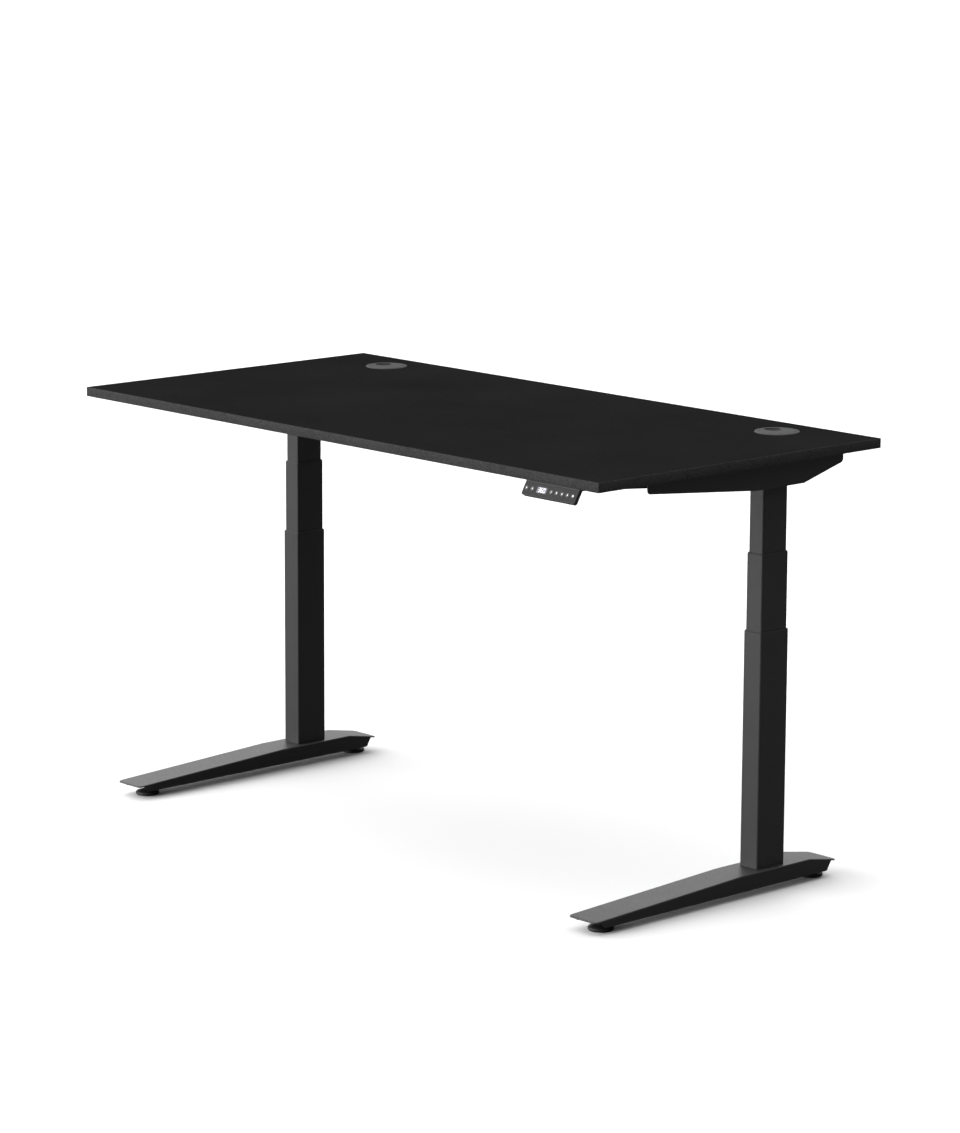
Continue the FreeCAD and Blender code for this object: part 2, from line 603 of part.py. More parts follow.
def side_bracket(x):
    """The channel that carries the desktop over one column."""
    half = BRACKET_WIDTH / 2
    web = box(x - half, x + half, COLUMN_Y - BRACKET_FRONT_REACH, COLUMN_Y + BRACKET_REAR_REACH,
              TOP_UNDERSIDE - BRACKET_SHEET, TOP_UNDERSIDE)
    body = fuse([web, bracket_flange(x - half, x - half + BRACKET_SHEET),
                 bracket_flange(x + half - BRACKET_SHEET, x + half)])
    folds = [e for e in along(body, Vector(0, 1, 0))
             if e.BoundBox.ZMin > TOP_UNDERSIDE - 0.01 and e.Length > BRACKET_WIDTH]
    body = body.makeFillet(BRACKET_SHEET, folds)
    for px, py in bracket_screw_places(x):
        body = body.cut(rod(SCREW_RADIUS + CLEARANCE_HOLE, px, py, TOP_UNDERSIDE - 5, TOP_UNDERSIDE + 1))
    for px, py in head_bolt_places(x):
        body = body.cut(rod(M6_RADIUS + RUNNING_GAP, px, py, TOP_UNDERSIDE - 5, TOP_UNDERSIDE + 1))
    side = 1 if x > 0 else -1
    inside = side * RAIL_END_X
    for px, py, pz in rail_bolt_places(side):
        body = body.cut(rod_x(M6_RADIUS + CLEARANCE_HOLE, inside - 5, inside + 5, py, pz))
    return body


def cross_rail(y):
    """A rectangular rail between the brackets, with a bolting plate welded on each end."""
    reach = RAIL_END_X - RAIL_PLATE
    bottom = TOP_UNDERSIDE - RAIL_HEIGHT
    tube = box(-reach, reach, y - RAIL_WIDTH / 2, y + RAIL_WIDTH / 2, bottom, TOP_UNDERSIDE)
    hollow = box(-reach, reach, y - RAIL_WIDTH / 2 + RAIL_WALL, y + RAIL_WIDTH / 2 - RAIL_WALL,
                 bottom + RAIL_WALL, TOP_UNDERSIDE - RAIL_WALL)
    pieces = [tube.cut(hollow)]
    for side in SIDES.values():
        low_x, high_x = sorted((side * reach, side * RAIL_END_X))
        plate = box(low_x, high_x, y - RAIL_WIDTH / 2, y + RAIL_WIDTH / 2,
                    TOP_UNDERSIDE - RAIL_PLATE_HEIGHT, TOP_UNDERSIDE)
        for _, py, pz in rail_bolt_places(side):
            plate = plate.cut(rod_x(M6_RADIUS + CLEARANCE_HOLE, low_x - 1, high_x + 1, py, pz))
        pieces.append(plate)
    return fuse(pieces)


def frame_bolts():
    """The machine bolts and nuts of the top frame."""
    bolts = []
    for side in SIDES.values():
        for px, py in head_bolt_places(side * COLUMN_X):
            head = rod(M6_HEAD_RADIUS, px, py, HEAD_BOTTOM - M6_HEAD, HEAD_BOTTOM)
            shank = rod(M6_RADIUS, px, py, HEAD_BOTTOM - 1, TOP_UNDERSIDE)
            bolts.append(fuse([head, shank]))
        for px, py, pz in rail_bolt_places(side):
            inner = px + side * BRACKET_SHEET
            outer = px - side * RAIL_PLATE
            head_x = sorted((inner, inner + side * M6_HEAD))
            shank_x = sorted((inner + side, outer - side * M6_NUT))
            nut_x = sorted((outer, outer - side * M6_NUT))
            head = rod_x(M6_HEAD_RADIUS, head_x[0], head_x[1], py, pz)
            shank = rod_x(M6_RADIUS, shank_x[0], shank_x[1], py, pz)
            nut = rod_x(M6_HEAD_RADIUS, nut_x[0], nut_x[1], py, pz)
            bolts.append(fuse([head, shank, nut]))
    return Part.makeCompound(bolts)


def handset_screw_places():
    """The two screws through the handset's flange."""
    y = FRONT_EDGE + HANDSET_FLANGE_DEPTH - SCREW_HEAD_RADIUS * 2
    return [(HANDSET_LEFT + share * HANDSET_WIDTH, y) for share in (0.2, 0.8)]


def box_screw_places():
    """The four screws through the control box's lugs."""
    reach = BOX_WIDTH / 2 + BOX_LUG / 2
    return [(sx * reach, BOX_Y + sy * BOX_DEPTH / 4) for sx in (-1, 1) for sy in (-1, 1)]


def desktop_screw_places():
    """Every wood screw under the desktop: place and the height of the face it seats on."""
    places = []
    for side in SIDES.values():
        places += [(x, y, TOP_UNDERSIDE - BRACKET_SHEET) for x, y in bracket_screw_places(side * COLUMN_X)]
    places += [(x, y, TOP_UNDERSIDE - HANDSET_FLANGE) for x, y in handset_screw_places()]
    places += [(x, y, TOP_UNDERSIDE - BOX_LUG_HEIGHT) for x, y in box_screw_places()]
    return places


def desktop_screws():
    """The wood screws that hold the frame, control box and handset to the desktop."""
    screws = []
    for x, y, seat in desktop_screw_places():
        head = rod(SCREW_HEAD_RADIUS, x, y, seat - SCREW_HEAD, seat)
        screws.append(fuse([head, rod(SCREW_RADIUS, x, y, seat - 1, TOP_UNDERSIDE + SCREW_BITE)]))
    return Part.makeCompound(screws)


def desktop_board():
    """The laminated board, with two cable holes and pilot holes for the screws."""
    half = TOP_WIDTH / 2 - EDGE_BAND
    board = box(-half, half, FRONT_EDGE + EDGE_BAND, BACK_EDGE - EDGE_BAND, TOP_UNDERSIDE, TOP_HEIGHT)
    for side in SIDES.values():
        board = board.cut(rod(GROMMET_HOLE_RADIUS, side * GROMMET_X, GROMMET_Y,
                              TOP_UNDERSIDE - 1, TOP_HEIGHT + 1))
    for x, y, _ in desktop_screw_places():
        board = board.cut(rod(SCREW_RADIUS + RUNNING_GAP, x, y, TOP_UNDERSIDE - 1,
                              TOP_UNDERSIDE + SCREW_BITE + 1))
    return board


def edge_band():
    """The plastic strips glued around the board, mitred into one band."""
    outside = box(-TOP_WIDTH / 2, TOP_WIDTH / 2, FRONT_EDGE, BACK_EDGE, TOP_UNDERSIDE, TOP_HEIGHT)
    inside = box(-TOP_WIDTH / 2 + EDGE_BAND, TOP_WIDTH / 2 - EDGE_BAND, FRONT_EDGE + EDGE_BAND,
                 BACK_EDGE - EDGE_BAND, TOP_UNDERSIDE, TOP_HEIGHT)
    return outside.cut(inside)


def grommet_liner(x):
    """A flanged sleeve in the desktop's cable hole, with a ledge for the lid."""
    bore = GROMMET_HOLE_RADIUS - GROMMET_WALL
    ledge_top = TOP_HEIGHT + GROMMET_FLANGE - LID_THICKNESS - AXIAL_GAP
    points = [(bore, TOP_UNDERSIDE), (GROMMET_HOLE_RADIUS, TOP_UNDERSIDE),
              (GROMMET_HOLE_RADIUS, TOP_HEIGHT), (GROMMET_FLANGE_RADIUS, TOP_HEIGHT),
              (GROMMET_FLANGE_RADIUS - GROMMET_CHAMFER, TOP_HEIGHT + GROMMET_FLANGE),
              (bore, TOP_HEIGHT + GROMMET_FLANGE), (bore, ledge_top),
              (bore - GROMMET_LEDGE, ledge_top), (bore - GROMMET_LEDGE, ledge_top - GROMMET_LEDGE / 2),
              (bore, ledge_top - GROMMET_LEDGE)]
    return revolve(points, x, GROMMET_Y)


def grommet_liners():
    """Both cable hole liners."""
    return Part.makeCompound([grommet_liner(side * GROMMET_X) for side in SIDES.values()])


def grommet_lid(x):
    """A turning lid with a U-shaped notch for the cables."""
    radius = GROMMET_HOLE_RADIUS - GROMMET_WALL - LID_GAP
    top = TOP_HEIGHT + GROMMET_FLANGE
    disc = rod(radius, x, GROMMET_Y, top - LID_THICKNESS, top)
    half = NOTCH_WIDTH / 2
    middle = NOTCH_START + half
    notch = fuse([rod(half, x + middle, GROMMET_Y, top - LID_THICKNESS - 1, top + 1),
                  box(x + middle, x + radius + 5, GROMMET_Y - half, GROMMET_Y + half,
                      top - LID_THICKNESS - 1, top + 1)])
    notch.rotate(Vector(x, GROMMET_Y, 0), UP, NOTCH_ANGLE)
    return disc.cut(notch)


def in_handset(shape):
    """Tilt a shape drawn upright on the handset's face, and hang it under the front edge.

    Drawn upright, X runs from the face's left end, Y from the face inwards and Z down from its top."""
    placed = shape.copy()
    placed.rotate(Vector(0, 0, 0), Vector(1, 0, 0), -HANDSET_TILT)
    placed.translate(Vector(HANDSET_LEFT, FRONT_EDGE, TOP_UNDERSIDE))
    return placed


def handset_key_places():
    """Distances of the seven keys from the left end of the handset."""
    presets = [PRESET_INSET + i * KEY_PITCH for i in range(5)]
    return [KEY_DOWN_INSET, KEY_UP_INSET] + presets


def face_rod(radius, x, depth0, depth1):
    """A round piece on the handset's middle line, between two depths below its face."""
    length = depth1 - depth0
    return Part.makeCylinder(radius, length, Vector(x, depth0, -HANDSET_FACE / 2), Vector(0, 1, 0))


def handset_housing():
    """The handset's open-fronted case with its mounting flange."""
    slab = box(0, HANDSET_WIDTH, 0, HANDSET_THICKNESS, -HANDSET_FACE, 2 * HANDSET_THICKNESS)
    low = [e for e in along(slab, Vector(0, 1, 0)) if e.BoundBox.ZMax < -HANDSET_FACE + 0.1]
    slab = slab.makeFillet(HANDSET_CORNER, low)
    wall = HANDSET_WALL
    hollow = box(wall, HANDSET_WIDTH - wall, -1, HANDSET_THICKNESS - wall, -HANDSET_FACE + wall, -wall)
    low = [e for e in along(hollow, Vector(0, 1, 0)) if e.BoundBox.ZMax < -HANDSET_FACE + wall + 0.1]
    hollow = hollow.makeFillet(HANDSET_CORNER - wall, low)
    case = in_handset(slab)
    above = box(HANDSET_LEFT - 10, HANDSET_LEFT + HANDSET_WIDTH + 10, FRONT_EDGE - 60,
                FRONT_EDGE + 60, TOP_UNDERSIDE, TOP_UNDERSIDE + 60)
    flange = box(HANDSET_LEFT, HANDSET_LEFT + HANDSET_WIDTH, FRONT_EDGE + HANDSET_THICKNESS / 2,
                 FRONT_EDGE + HANDSET_FLANGE_DEPTH, TOP_UNDERSIDE - HANDSET_FLANGE, TOP_UNDERSIDE)
    case = fuse([case.cut(above), flange]).cut(in_handset(hollow))
    for x, y in handset_screw_places():
        case = case.cut(rod(SCREW_RADIUS + CLEARANCE_HOLE, x, y, TOP_UNDERSIDE - 10, TOP_UNDERSIDE + 1))
    return case


def display_block(gap, depth0, depth1):
    """The display's outline on the face, grown by a gap."""
    half_width = DISPLAY_WIDTH / 2 + gap
    half_height = DISPLAY_HEIGHT / 2 + gap
    middle = -HANDSET_FACE / 2
    return box(DISPLAY_INSET - half_width, DISPLAY_INSET + half_width, depth0, depth1,
               middle - half_height, middle + half_height)


def handset_face():
    """The fascia, with a window and seven round key holes."""
    edge = HANDSET_WALL + FIT_GAP
    plate = box(edge, HANDSET_WIDTH - edge, 0, FASCIA_THICKNESS, -HANDSET_FACE + edge, -edge)
    low = [e for e in along(plate, Vector(0, 1, 0)) if e.BoundBox.ZMax < -HANDSET_FACE + edge + 0.1]
    plate = plate.makeFillet(HANDSET_CORNER - edge, low)
    plate = plate.cut(display_block(FIT_GAP, -1, FASCIA_THICKNESS + 1))
    for x in handset_key_places():
        plate = plate.cut(face_rod(KEY_RADIUS + KEY_GAP, x, -1, FASCIA_THICKNESS + 1))
    return in_handset(plate)


def handset_display():
    """The clear window of the height display."""
    return in_handset(display_block(0, 0, FASCIA_THICKNESS))


def handset_key(x):
    """A round key with a skirt behind the fascia."""
    cap = face_rod(KEY_RADIUS, x, -KEY_PROUD, KEY_LENGTH - KEY_PROUD)
    skirt_start = FASCIA_THICKNESS + KEY_GAP
    skirt = face_rod(KEY_RADIUS + KEY_SKIRT, x, skirt_start, skirt_start + KEY_SKIRT_HEIGHT)
    return in_handset(fuse([cap, skirt]))


def handset_board():
    """The handset's circuit board, seated on the back of the case."""
    edge = HANDSET_WALL + FIT_GAP
    back = HANDSET_THICKNESS - HANDSET_WALL
    return in_handset(box(edge, HANDSET_WIDTH - edge, back - BOARD_THICKNESS, back,
                          -HANDSET_FACE + edge + HANDSET_CORNER, -edge - HANDSET_CORNER))


def socket_places():
    """The two motor sockets and the handset socket, along the control box's front."""
    return [i * SOCKET_SPACING for i in (-1, 0, 1)]


def control_box():
    """The control box case: a hollow shell with fixing lugs and openings for its connectors."""
    bottom = TOP_UNDERSIDE - BOX_HEIGHT
    half_w = BOX_WIDTH / 2
    half_d = BOX_DEPTH / 2
    case = box(-half_w, half_w, BOX_Y - half_d, BOX_Y + half_d, bottom, TOP_UNDERSIDE)
    case = case.makeFillet(BOX_CORNER, along(case, UP))
    hollow = box(-half_w + BOX_WALL, half_w - BOX_WALL, BOX_Y - half_d + BOX_WALL,
                 BOX_Y + half_d - BOX_WALL, bottom + BOX_WALL, TOP_UNDERSIDE - BOX_WALL)
    lug_reach = half_d * BOX_LUG_DEPTH_SHARE
    lugs = box(-half_w - BOX_LUG, half_w + BOX_LUG, BOX_Y - lug_reach, BOX_Y + lug_reach,
               TOP_UNDERSIDE - BOX_LUG_HEIGHT, TOP_UNDERSIDE)
    shell = fuse([case, lugs]).cut(hollow)
    level = bottom + BOX_WALL + BOARD_THICKNESS + CONNECTOR_LIFT
    for x in socket_places():
        shell = shell.cut(box(x - SOCKET_WIDTH / 2, x + SOCKET_WIDTH / 2, BOX_Y - half_d - 1,
                              BOX_Y - half_d + BOX_WALL + 1, level, level + SOCKET_HEIGHT))
    shell = shell.cut(box(half_w - BOX_WALL - 1, half_w + 1, BOX_Y - INLET_WIDTH / 2,
                          BOX_Y + INLET_WIDTH / 2, level, level + INLET_HEIGHT))
    for x, y in box_screw_places():
        shell = shell.cut(rod(SCREW_RADIUS + CLEARANCE_HOLE, x, y, bottom, TOP_UNDERSIDE + 1))
    return shell


def connector(x0, x1, y0, y1, z0, z1, axis):
    """A connector block with an open mouth towards the front (y) or the right (x)."""
    rim = CONNECTOR_RIM
    block = box(x0, x1, y0, y1, z0, z1)
    if axis == "y":
        mouth = box(x0 + rim, x1 - rim, y0 - 1, y1 - rim * 3, z0 + rim, z1 - rim)
    else:
        mouth = box(x0 + rim * 3, x1 + 1, y0 + rim, y1 - rim, z0 + rim, z1 - rim)
    return block.cut(mouth)


def control_board():
    """The control board: board, connectors and the tall parts of its power supply."""
    bottom = TOP_UNDERSIDE - BOX_HEIGHT + BOX_WALL
    half_w = BOX_WIDTH / 2 - BOX_WALL - FIT_GAP
    half_d = BOX_DEPTH / 2 - BOX_WALL - FIT_GAP
    top = bottom + BOARD_THICKNESS
    pieces = [box(-half_w, half_w, BOX_Y - half_d, BOX_Y + half_d, bottom, top)]
    for x in socket_places():
        pieces.append(connector(x - SOCKET_WIDTH / 2, x + SOCKET_WIDTH / 2, BOX_Y - half_d,
                                BOX_Y - half_d + CONNECTOR_DEPTH, top,
                                top + CONNECTOR_LIFT + SOCKET_HEIGHT, "y"))
    pieces.append(connector(half_w - INLET_DEPTH, half_w, BOX_Y - INLET_WIDTH / 2, BOX_Y + INLET_WIDTH / 2,
                            top, top + CONNECTOR_LIFT + INLET_HEIGHT, "x"))
    back = BOX_Y + half_d - INLET_DEPTH
    left = TRANSFORMER_SIZE * 0.3 - half_w
    pieces.append(box(left, left + TRANSFORMER_SIZE, back - TRANSFORMER_SIZE, back, top,
                      top + TALL_PART_HEIGHT))
    for i in (1, 2):
        pieces.append(rod(CAPACITOR_RADIUS, -i * (2 * CAPACITOR_RADIUS + 4) - 10, back - CAPACITOR_RADIUS,
                          top, top + TALL_PART_HEIGHT))
    pieces.append(box(0, HEAT_SINK_LENGTH, back - HEAT_SINK_WALL, back, top, top + TALL_PART_HEIGHT))
    return fuse(pieces)


def build_nodes():
    """Every node of the desk, by name."""
    nodes = {}
    for name, side in SIDES.items():
        x = side * COLUMN_X
        nodes[name + "_foot"] = foot(x)
        nodes[name + "_foot_bolts"] = foot_bolts(x)
        for end, place in zip(("front", "rear"), leveller_places(x)):
            nodes[f"{name}_{end}_leveller"] = leveller(*place)
        nodes[name + "_outer_tube"] = outer_tube(x)
        nodes[name + "_outer_bush"] = mouth_bush(x, 0, OUTER_TOP)
        nodes[name + "_base_screw"] = base_screw(x)
        nodes[name + "_middle_tube"] = middle_tube(x)
        nodes[name + "_middle_bush"] = mouth_bush(x, 1, MIDDLE_TOP)
        nodes[name + "_middle_glide"] = lower_glide(x, 1, MIDDLE_BOTTOM)
        nodes[name + "_nut_tube"] = nut_tube(x)
        nodes[name + "_lift_nut"] = lift_nut(x)
        nodes[name + "_drive_tube"] = drive_tube(x)
        nodes[name + "_lift_screw"] = lift_screw(x)
        nodes[name + "_inner_tube"] = inner_tube(x)
        nodes[name + "_inner_glide"] = lower_glide(x, 2, INNER_BOTTOM)
        nodes[name + "_gearbox"] = gearbox(x)
        nodes[name + "_motor"] = motor(x)
        nodes[name + "_bracket"] = side_bracket(x)
        nodes[name + "_grommet_lid"] = grommet_lid(side * GROMMET_X)
    nodes["desktop_board"] = desktop_board()
    nodes["edge_band"] = edge_band()
    nodes["grommet_liners"] = grommet_liners()
    nodes["front_rail"] = cross_rail(FRONT_RAIL_Y)
    nodes["rear_rail"] = cross_rail(REAR_RAIL_Y)
    nodes["frame_bolts"] = frame_bolts()
    nodes["desktop_screws"] = desktop_screws()
    nodes["control_box"] = control_box()
    nodes["control_board"] = control_board()
    nodes["handset_housing"] = handset_housing()
    nodes["handset_face"] = handset_face()
    nodes["handset_display"] = handset_display()
    nodes["handset_board"] = handset_board()
    key_names = ("down", "up", "preset_1", "preset_2", "preset_3", "preset_4", "memory")
    for name, x in zip(key_names, handset_key_places()):
        nodes[name + "_key"] = handset_key(x)
    return nodes


def main():
    """Write one STEP file for each node."""
    os.makedirs("parts", exist_ok=True)
    for name, shape in build_nodes().items():
        shape.exportStep(os.path.join("parts", name + ".step"))
        print(f"{name}: {len(shape.Solids)} solid(s), valid {shape.isValid()}, {shape.Volume:.0f} mm3")


main()
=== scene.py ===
"""Looks of a height adjustable standing desk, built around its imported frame. Metres, +Z up."""

import json
import logging
import math
from collections.abc import Sequence
from dataclasses import dataclass
from enum import Enum

import bmesh
import bpy
from mathutils import Matrix, Vector


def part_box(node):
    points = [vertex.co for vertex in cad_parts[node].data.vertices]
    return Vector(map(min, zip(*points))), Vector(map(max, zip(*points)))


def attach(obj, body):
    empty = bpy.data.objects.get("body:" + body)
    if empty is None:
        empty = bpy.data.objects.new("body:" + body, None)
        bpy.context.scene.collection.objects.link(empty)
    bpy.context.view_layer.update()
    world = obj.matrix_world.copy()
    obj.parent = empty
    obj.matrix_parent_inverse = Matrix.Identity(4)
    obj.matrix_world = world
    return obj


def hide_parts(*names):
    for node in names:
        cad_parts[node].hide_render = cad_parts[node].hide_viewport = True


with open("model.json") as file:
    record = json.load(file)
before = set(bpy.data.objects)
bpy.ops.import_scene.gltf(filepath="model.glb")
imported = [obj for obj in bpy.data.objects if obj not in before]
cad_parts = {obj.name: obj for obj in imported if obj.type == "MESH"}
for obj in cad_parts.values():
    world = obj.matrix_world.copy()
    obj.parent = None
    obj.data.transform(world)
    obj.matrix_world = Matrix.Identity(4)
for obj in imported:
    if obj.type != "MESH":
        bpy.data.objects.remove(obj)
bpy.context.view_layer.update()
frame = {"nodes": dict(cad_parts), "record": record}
BODY_OF = {node: body for body, nodes in frame["record"]["behaviour"]["bodies"].items() for node in nodes}
MM = 0.001
WELD = 1e-6
HAIR = 0.01 * MM
COOLNESS = 1.02
NOISE_LOW, NOISE_HIGH = 0.3, 0.7
UP = Vector((0, 0, 1))

Colour = tuple[float, float, float]
Ring = list[Vector]
Box = tuple[Vector, Vector]
Outline = Sequence[tuple[float, float]]
Socket = bpy.types.NodeSocket


class Side(Enum):
    """The desk's two sides, seen by its user, and the direction of each along X."""

    LEFT = -1
    RIGHT = 1

    def node(self, part: str) -> str:
        """Name of this side's copy of a part."""
        return f"{self.name.lower()}_{part}"


def grey(level: float) -> Colour:
    """A near neutral colour of a linear brightness, very slightly blue."""
    return (level, level, level * COOLNESS)


def preset(node: bpy.types.Node, values: dict[str, float | tuple[float, ...]]) -> None:
    """Set constant values on a node's own sockets."""
    for name, value in values.items():
        node.inputs[name].default_value = value


def placed(name: str, data: bpy.types.ID) -> bpy.types.Object:
    """A new object in the scene.

    Args:
        name: The object's name.
        data: Its mesh, curve, lamp or camera.

    Returns:
        The object.
    """
    made = bpy.data.objects.new(name, data)
    bpy.context.scene.collection.objects.link(made)
    return made


# ---- finishes


class NodeBench:
    """One material's node tree, with short calls for what the finishes share."""

    def __init__(self, name: str) -> None:
        """Start a material with one Principled shader.

        Args:
            name: The material's name.
        """
        self.material = bpy.data.materials.new(name)
        self.material.use_nodes = True
        self.tree = self.material.node_tree
        self.tree.nodes.clear()
        output = self.node("ShaderNodeOutputMaterial")
        self.shader = self.node("ShaderNodeBsdfPrincipled")
        self.join(self.shader.outputs["BSDF"], output.inputs["Surface"])
        self.place = self.node("ShaderNodeTexCoord").outputs["Object"]

    def node(self, kind: str) -> bpy.types.Node:
        """Add a node of a kind."""
        return self.tree.nodes.new(kind)

    def join(self, source: Socket, target: Socket) -> None:
        """Link two sockets."""
        self.tree.links.new(source, target)

    def fixed(self, values: dict[str, float]) -> None:
        """Set constant values on the shader's own sockets."""
        preset(self.shader, values)

    def stretched(self, scale: tuple[float, float, float]) -> Socket:
        """Object coordinates scaled along each axis.

        Args:
            scale: Factors along X, Y and Z.

        Returns:
            The scaled vector.
        """
        mapping = self.node("ShaderNodeMapping")
        mapping.inputs["Scale"].default_value = scale
        self.join(self.place, mapping.inputs["Vector"])
        return mapping.outputs["Vector"]

    def texture(self, kind: str, size: float, place: Socket | None) -> bpy.types.Node:
        """Add a texture node.

        Args:
            kind: The kind of node.
            size: Size of its features in metres.
            place: Coordinates, or None for the object's own.

        Returns:
            The node.
        """
        made = self.node(kind)
        preset(made, {"Scale": 1 / size})
        self.join(place or self.place, made.inputs["Vector"])
        return made

    def grain(self, size: float, detail: float = 2.0, place: Socket | None = None) -> Socket:
        """Soft noise.

        Args:
            size: Width of one lump in metres.
            detail: How many finer layers lie over it.
            place: Coordinates, or the object's own.

        Returns:
            The noise's value, about 0.3 to 0.7.
        """
        noise = self.texture("ShaderNodeTexNoise", size, place)
        preset(noise, {"Detail": detail})
        return noise.outputs["Fac"]

    def cells(self, size: float, place: Socket | None = None) -> Socket:
        """Distance to the nearest of scattered points that lie a size apart, about 0 to 1."""
        return self.texture("ShaderNodeTexVoronoi", size, place).outputs["Distance"]

    def spread(self, factor: Socket, low: float, high: float) -> Socket:
        """A noise value spread over a range.

        Args:
            factor: The noise.
            low: Result where the noise is low.
            high: Result where it is high.

        Returns:
            The new value.
        """
        remap = self.node("ShaderNodeMapRange")
        preset(remap, {"From Min": NOISE_LOW, "From Max": NOISE_HIGH, "To Min": low, "To Max": high})
        self.join(factor, remap.inputs["Value"])
        return remap.outputs["Result"]

    def blend(self, first: Socket, second: Socket, share: float) -> Socket:
        """Two values mixed.

        Args:
            first: The first value.
            second: The second value.
            share: How much of the second one is used.

        Returns:
            The mixed value.
        """
        mix = self.node("ShaderNodeMix")
        mix.inputs["Factor"].default_value = share
        self.join(first, mix.inputs["A"])
        self.join(second, mix.inputs["B"])
        return mix.outputs["Result"]

    def tint(self, factor: Socket, dark: Colour, light: Colour) -> None:
        """Colour the surface between two colours.

        Args:
            factor: The noise that mixes them.
            dark: Colour where the noise is low.
            light: Colour where it is high.
        """
        ramp = self.node("ShaderNodeValToRGB")
        for stop, position, colour in zip(ramp.color_ramp.elements, (0.32, 0.68), (dark, light)):
            stop.position = position
            stop.color = (*colour, 1.0)
        self.join(factor, ramp.inputs["Fac"])
        self.join(ramp.outputs["Color"], self.shader.inputs["Base Color"])

    def shine(self, factor: Socket, low: float, high: float) -> None:
        """Vary the roughness between two values, by a noise value."""
        self.join(self.spread(factor, low, high), self.shader.inputs["Roughness"])

    def relief(self, height: Socket, depth: float) -> None:
        """Raise the surface by a noise value.

        Args:
            height: The noise.
            depth: How far it raises the surface, in metres.
        """
        bump = self.node("ShaderNodeBump")
        preset(bump, {"Strength": 1.0, "Distance": depth})
        self.join(height, bump.inputs["Height"])
        self.join(bump.outputs["Normal"], self.shader.inputs["Normal"])


@dataclass(frozen=True)
class Finish:
    """A surface finish and the record's material slot that it belongs to."""

    name: str
    slot: str

    def dress(self, bench: NodeBench) -> None:
        """Build the finish's nodes on a bench."""
        raise NotImplementedError(self.name)

    def material(self) -> bpy.types.Material:
        """Make the finish's material the first time it is asked for.

        Returns:
            The material.
        """
        found = bpy.data.materials.get(self.name)
        if found is None:
            bench = NodeBench(self.name)
            self.dress(bench)
            found = bench.material
        return found


@dataclass(frozen=True)
class Coating(Finish):
    """An opaque coating or moulding: fine grain over slow, faint clouds."""

    dark: Colour
    light: Colour
    grain_size: float = 1.1 * MM
    grain_depth: float = 0.05 * MM
    cloud_size: float = 90 * MM
    cloud_share: float = 0.35
    rough: float = 0.45
    rough_spread: float = 0.06
    specular: float = 0.5

    def dress(self, bench: NodeBench) -> None:
        """Build the finish's nodes.

        Args:
            bench: The bench that holds the new material.
        """
        grain = bench.grain(self.grain_size, 3.0)
        clouds = bench.grain(self.cloud_size)
        bench.tint(bench.blend(grain, clouds, self.cloud_share), self.dark, self.light)
        patches = bench.grain(3 * self.grain_size)
        bench.shine(patches, self.rough - self.rough_spread, self.rough + self.rough_spread)
        bench.relief(grain, self.grain_depth)
        bench.fixed({"Specular IOR Level": self.specular})


@dataclass(frozen=True)
class Laminate(Finish):
    """Matt black melamine laminate with fine pressed pores."""

    dark: Colour = grey(0.0100)
    light: Colour = grey(0.0145)
    pore_size: float = 1.6 * MM
    pore_depth: float = 0.04 * MM
    pore_stretch: tuple[float, float, float] = (0.45, 1.0, 1.0)
    cloud_size: float = 220 * MM
    cloud_share: float = 0.4
    specular: float = 0.0

    def dress(self, bench: NodeBench) -> None:
        """Build the finish's nodes.

        Args:
            bench: The bench that holds the new material.
        """
        pores = bench.cells(self.pore_size, bench.stretched(self.pore_stretch))
        fleck = bench.grain(3 * self.pore_size, 4.0)
        clouds = bench.grain(self.cloud_size)
        bench.tint(bench.blend(fleck, clouds, self.cloud_share), self.dark, self.light)
        bench.shine(fleck, 0.62, 0.76)
        bench.relief(bench.blend(pores, fleck, 0.4), self.pore_depth)
        bench.fixed({"Specular IOR Level": self.specular})


@dataclass(frozen=True)
class Metal(Finish):
    """Bare or plated metal, drawn along one axis."""

    dark: Colour = (0.42, 0.42, 0.41)
    light: Colour = (0.62, 0.62, 0.60)
    lines: tuple[float, float, float] = (1.0, 1.0, 0.06)
    line_size: float = 0.8 * MM
    line_depth: float = 0.02 * MM
    patina_size: float = 14 * MM
    rough: float = 0.32

    def dress(self, bench: NodeBench) -> None:
        """Build the finish's nodes.

        Args:
            bench: The bench that holds the new material.
        """
        drawn = bench.grain(self.line_size, 3.0, bench.stretched(self.lines))
        patina = bench.grain(self.patina_size, 4.0)
        bench.tint(bench.blend(drawn, patina, 0.5), self.dark, self.light)
        bench.shine(patina, self.rough - 0.08, self.rough + 0.1)
        bench.relief(drawn, self.line_depth)
        bench.fixed({"Metallic": 1.0})


@dataclass(frozen=True)
class Casting(Finish):
    """Rough cast metal with a pebbled skin."""

    pebble: float = 1.8 * MM
    pebble_depth: float = 0.15 * MM
    cloud_size: float = 20 * MM

    def dress(self, bench: NodeBench) -> None:
        """Build the finish's nodes.

        Args:
            bench: The bench that holds the new material.
        """
        pebbles = bench.cells(self.pebble)
        clouds = bench.grain(self.cloud_size, 4.0)
        bench.tint(clouds, grey(0.10), grey(0.17))
        bench.shine(clouds, 0.5, 0.7)
        bench.relief(bench.blend(pebbles, clouds, 0.5), self.pebble_depth)
        bench.fixed({"Metallic": 0.85})


